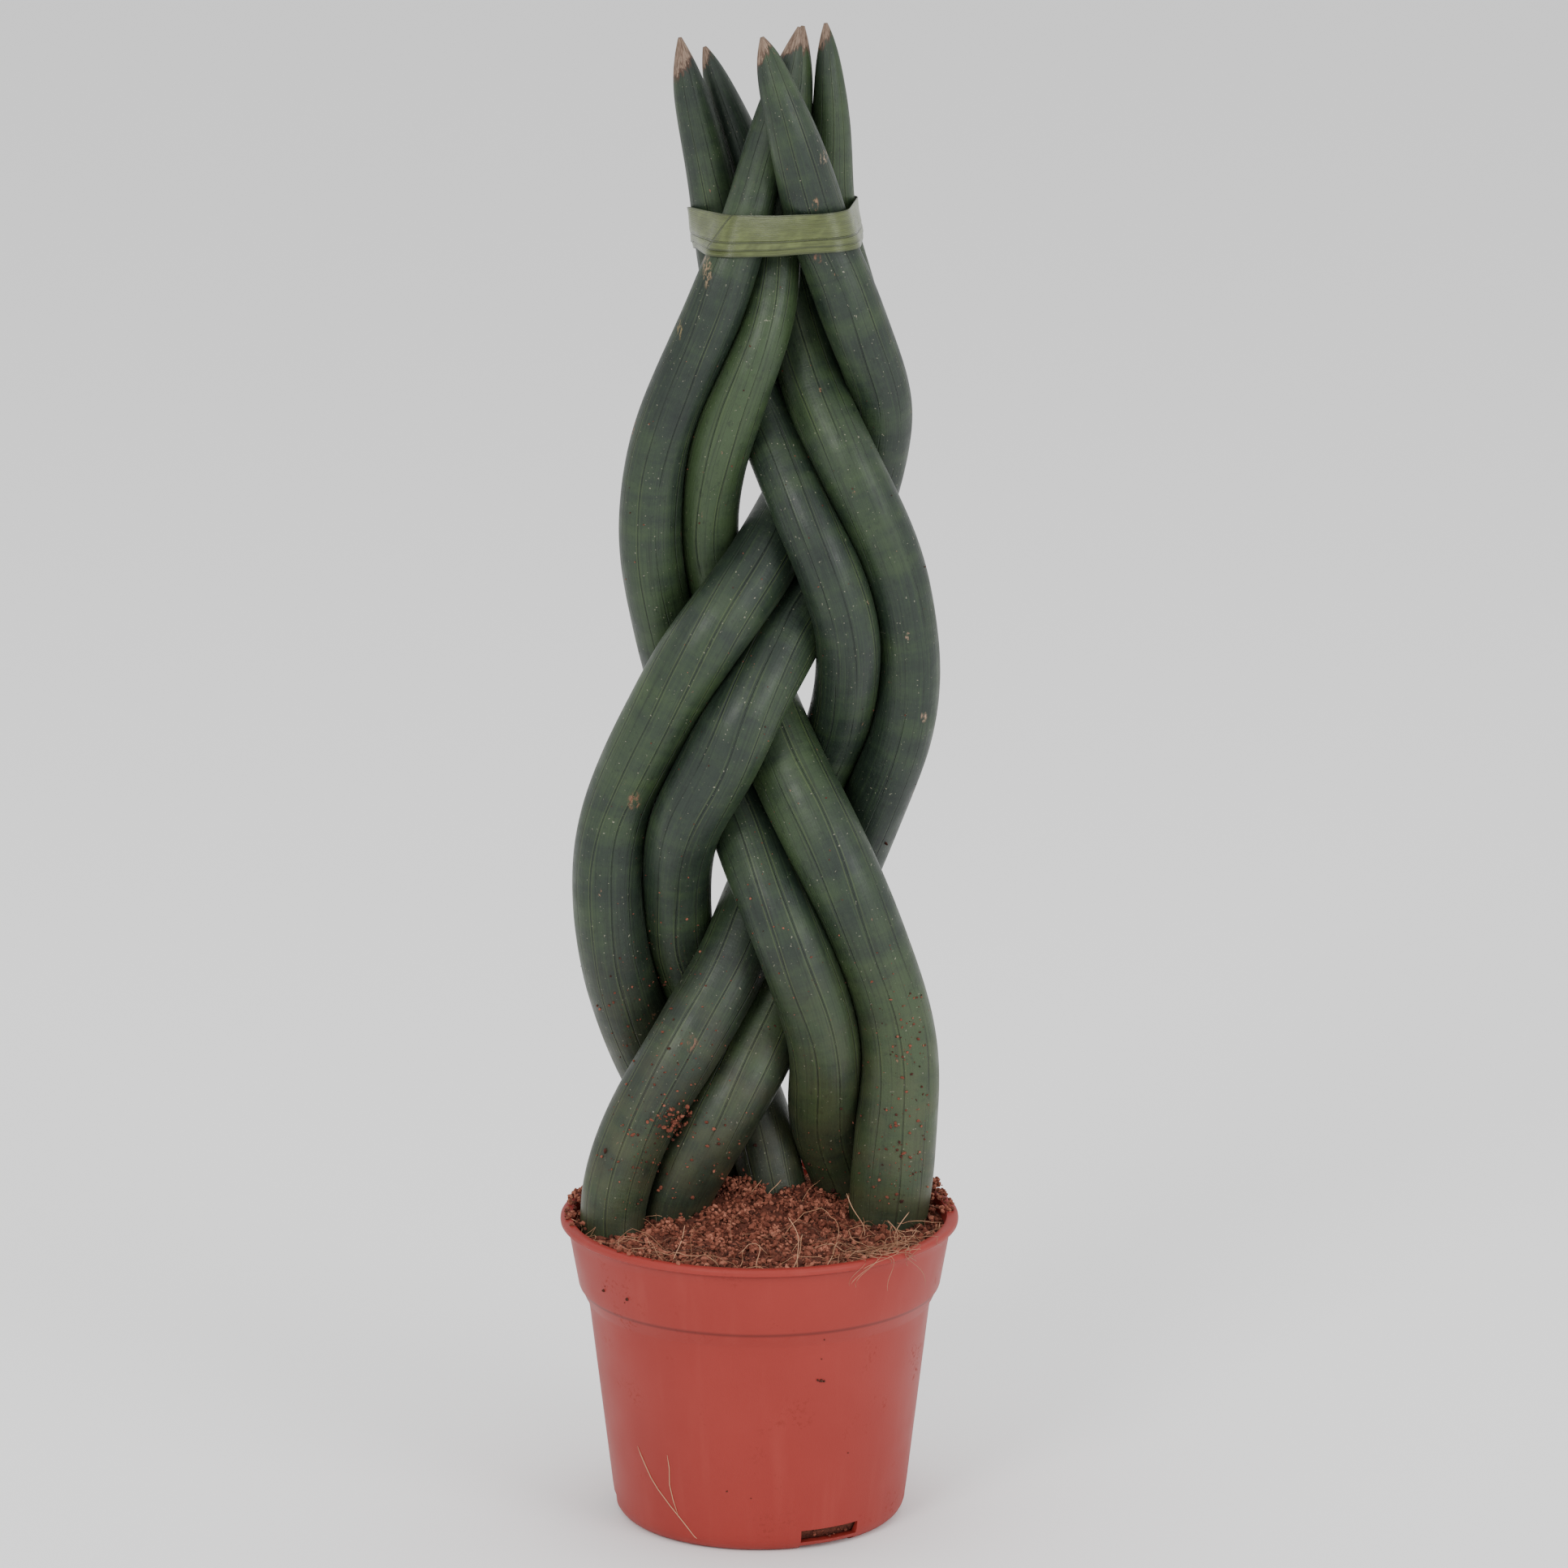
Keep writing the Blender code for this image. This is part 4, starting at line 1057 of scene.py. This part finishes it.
class PLAIT_OT_ribbon(bpy.types.Operator):
    """Wind the satin ribbon round the leaves"""

    bl_idname = "plait.ribbon"
    bl_label = "Ribbon"

    def execute(self, context):
        own = context.scene.plait_ribbon
        mat = woven_satin()
        for name, low, off, slant in RIBBON_TURNS:
            self.turn(own, mat, name, low, off, slant)
        return {"FINISHED"}

    def turn(self, own, mat, name, low, off, slant):
        """One turn of ribbon, a strip that follows the taut outline of the leaves."""
        mid, at, levels, radii = bundle_outlines(low, low + own.width, 180)
        rows, thick = 12, 0.00018
        verts, cloth, faces = [], [], []
        for shell in (0, 1):
            length = 0.0
            for i, a in enumerate(at):
                aside = mid[0] + 0.022 * math.cos(a) - RIBBON_LEVEL_X
                shift = RIBBON_TILT * max(aside, 0.25 * aside)
                shift -= 0.005 * max(0.0, math.sin(a)) * max(0.0, -math.cos(a))
                ends = [float(np.interp(low + shift + own.width * t, levels, radii[:, i])) for t in (0, 1)]
                inside = [float(np.interp(low + shift + own.width * t, levels, radii[:, i]))
                          - ends[0] - (ends[1] - ends[0]) * t for t in (0.25, 0.5, 0.75)]
                spare = max(0.0, *inside)
                for k in range(rows + 1):
                    t = k / rows
                    crease = 0.00016 * math.sin(a * 9 + low * 900 + 2 * t)
                    crease += 0.00014 * math.sin(a * 4 + 5 * t)
                    crease -= 0.00022 * math.exp(-((t - 0.23) / 0.04) ** 2)
                    reach = ends[0] + (ends[1] - ends[0]) * t + spare + off + thick * shell
                    reach += crease * math.sin(math.pi * t) ** 0.5
                    verts.append((mid[0] + reach * math.cos(a), mid[1] + reach * math.sin(a),
                                  low + shift + own.width * t))
                    fold = 0.5 + (math.degrees(a) - 226.0) / 16.0 - 1.1 * (t - 0.5)
                    cloth.append((length, own.width * (t - 0.5), fold if slant else 0.0))
                length += ends[0] * 2 * math.pi / len(at)
        count, row = len(at), rows + 1
        for shell in (0, 1):
            base = shell * count * row
            for i in range(count):
                j = (i + 1) % count
                for k in range(rows):
                    a, b = base + i * row + k, base + j * row + k
                    face = (a, b, b + 1, a + 1)
                    faces.append(face if shell else face[::-1])
        for i in range(count):
            j = (i + 1) % count
            for k in (0, rows):
                a, b = i * row + k, j * row + k
                c, d = count * row + b, count * row + a
                faces.append((a, b, c, d) if k == 0 else (d, c, b, a))
        obj = mesh_piece(name, verts, faces, mat)
        outward(obj)
        sharpen(obj, 50)
        set_attribute(obj, "cloth", "FLOAT_VECTOR", cloth)
        if name == "ribbon_outer":
            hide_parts("ribbon")


# Each turn of ribbon: name, height of its low edge, distance off the leaves, slanting crease
RIBBON_TURNS = [("ribbon_inner", 0.3840, 0.0006, False), ("ribbon_outer", 0.3858, 0.0011, True)]
RIBBON_TILT = 0.075
RIBBON_LEVEL_X = 0.005


def bundle_outlines(low, high, count):
    """Taut outlines round the leaves at several heights, as radii round one middle."""
    lines = leaf_lines().values()
    middle = 0.5 * (low + high)
    centres = [[np.interp(middle, line[:, 2], line[:, c]) for c in (0, 1)] for line, _, _ in lines]
    mid = np.mean(centres, axis=0)
    at = np.linspace(0, 2 * math.pi, count, endpoint=False)
    turn = np.linspace(0, 2 * math.pi, 360, endpoint=False)
    way = np.column_stack([np.cos(turn), np.sin(turn)])
    facing = np.cos(turn[None, :] - at[:, None])
    levels = np.arange(low - 0.005, high + 0.006, 0.001)
    radii = []
    for z in levels:
        centres, reach = [], []
        for line, radius, _ in lines:
            lean = np.interp(z, line[:, 2], np.abs(frames_along(line)[0][:, 2]))
            centres.append([np.interp(z, line[:, 2], line[:, c]) for c in (0, 1)])
            reach.append((np.interp(z, line[:, 2], radius) + 0.0003) / max(0.6, lean))
        support = ((np.array(centres) - mid) @ way.T + np.array(reach)[:, None]).max(0)
        radii.append(np.where(facing > 0.15, support[None, :] / np.maximum(facing, 0.15), 1e9).min(1))
    return mid, at, levels, np.array(radii)


class PLAIT_OT_strewn(bpy.types.Operator):
    """Strew crumbs on the leaves and the pot"""

    bl_idname = "plait.strewn"
    bl_label = "Strewn Crumbs"

    def execute(self, context):
        mat = coir_pith("coir_pith_strewn")
        rng = random.Random(5)
        skins = self.skin_tree()
        pile = Pile(rng)
        for x, z, wide, high, count, largest, heap in STREWN:
            for _ in range(count):
                place = Vector((rng.gauss(x, wide), -0.4, rng.gauss(z, high)))
                hit, normal, _, _ = skins.ray_cast(place, Vector((0, 1, 0)))
                if hit is None or hit.z < STREWN_LOW:
                    continue
                size = 0.00016 + (largest - 0.00016) * rng.random() ** 2.6
                pile.lump(hit + normal * (0.3 * size + heap * rng.random() ** 2), size)
                pile.tint(rng.uniform(0.05, 0.65))
        for azimuth, z, size in POT_CRUMBS:
            pile.lump(outside_pot(azimuth, z, size * 0.3), size)
            pile.tint(0.15)
        pile.become("strewn_crumbs", mat)
        return {"FINISHED"}

    def skin_tree(self):
        """Search tree over the six leaf skins."""
        verts, faces = [], []
        for node in LEAF_NODES:
            mesh = bpy.data.objects["skin_" + node].data
            base = len(verts)
            verts += [v.co.copy() for v in mesh.vertices]
            faces += [[base + i for i in p.vertices] for p in mesh.polygons]
        return BVHTree.FromPolygons(verts, faces)


# Patches of crumbs on the leaves, seen from the front: middle x and z, spread in x and z,
# how many, the largest size and how high they pile up
STREWN = [
    (0.044, 0.140, 0.006, 0.026, 170, 0.00065, 0.0), (0.041, 0.110, 0.007, 0.008, 60, 0.0008, 0.0003),
    (-0.030, 0.146, 0.009, 0.020, 150, 0.00060, 0.0),
    (-0.0255, 0.1245, 0.0036, 0.0028, 130, 0.0010, 0.0018),
    (-0.038, 0.112, 0.006, 0.008, 60, 0.0008, 0.0003), (-0.016, 0.110, 0.008, 0.008, 50, 0.0008, 0.0003),
    (-0.002, 0.165, 0.018, 0.024, 90, 0.00045, 0.0), (0.020, 0.110, 0.006, 0.008, 30, 0.0007, 0.0003),
    (0.0, 0.270, 0.026, 0.060, 110, 0.00038, 0.0),
]
# Crumbs on the pot: azimuth from the front in degrees, height, radius
POT_CRUMBS = [
    (-56.0, 0.078, 0.0007), (-55.0, 0.0795, 0.0003), (-44.5, 0.078, 0.0008), (-46.0, 0.0765, 0.0003),
    (21.5, 0.0685, 0.0004), (21.2, 0.062, 0.0003), (21.5, 0.055, 0.0007), (20.2, 0.0553, 0.0005),
    (22.6, 0.0547, 0.0004), (-12.0, 0.020, 0.0003), (-3.0, 0.018, 0.0003), (34.0, 0.030, 0.0003),
]


class PLAIT_PT_panel(bpy.types.Panel):
    """Buttons and settings of the braided snake plant"""

    bl_label = "Braided Snake Plant"
    bl_idname = "PLAIT_PT_panel"
    bl_space_type = "VIEW_3D"
    bl_region_type = "UI"
    bl_category = "Plait"

    def draw(self, context):
        for key, kind in SETTINGS.items():
            box = self.layout.box()
            own = getattr(context.scene, key)
            for name in kind.__annotations__:
                box.prop(own, name)
        for operator in OPERATORS:
            self.layout.operator(operator.bl_idname)


SETTINGS = {
    "plait_leaf": PlaitLeafSettings, "plait_pot": PlaitPotSettings, "plait_soil": PlaitSoilSettings,
    "plait_ribbon": PlaitRibbonSettings, "plait_stage": PlaitStageSettings,
}
OPERATORS = [PLAIT_OT_stage, PLAIT_OT_leaves, PLAIT_OT_pot, PLAIT_OT_soil, PLAIT_OT_fibres,
             PLAIT_OT_ribbon, PLAIT_OT_strewn]


def register():
    """Register the settings, the operators and the panel."""
    for cls in (*SETTINGS.values(), *OPERATORS, PLAIT_PT_panel):
        bpy.utils.register_class(cls)
    for key, kind in SETTINGS.items():
        setattr(bpy.types.Scene, key, PointerProperty(type=kind))


def unregister():
    """Take everything out again."""
    for key in SETTINGS:
        delattr(bpy.types.Scene, key)
    for cls in reversed((*SETTINGS.values(), *OPERATORS, PLAIT_PT_panel)):
        bpy.utils.unregister_class(cls)


def main():
    """Make every piece in order."""
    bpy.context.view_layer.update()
    register()
    bpy.ops.plait.stage()
    bpy.ops.plait.leaves()
    bpy.ops.plait.pot()
    bpy.ops.plait.soil()
    bpy.ops.plait.fibres()
    bpy.ops.plait.ribbon()
    bpy.ops.plait.strewn()


if __name__ == "__main__":
    main()
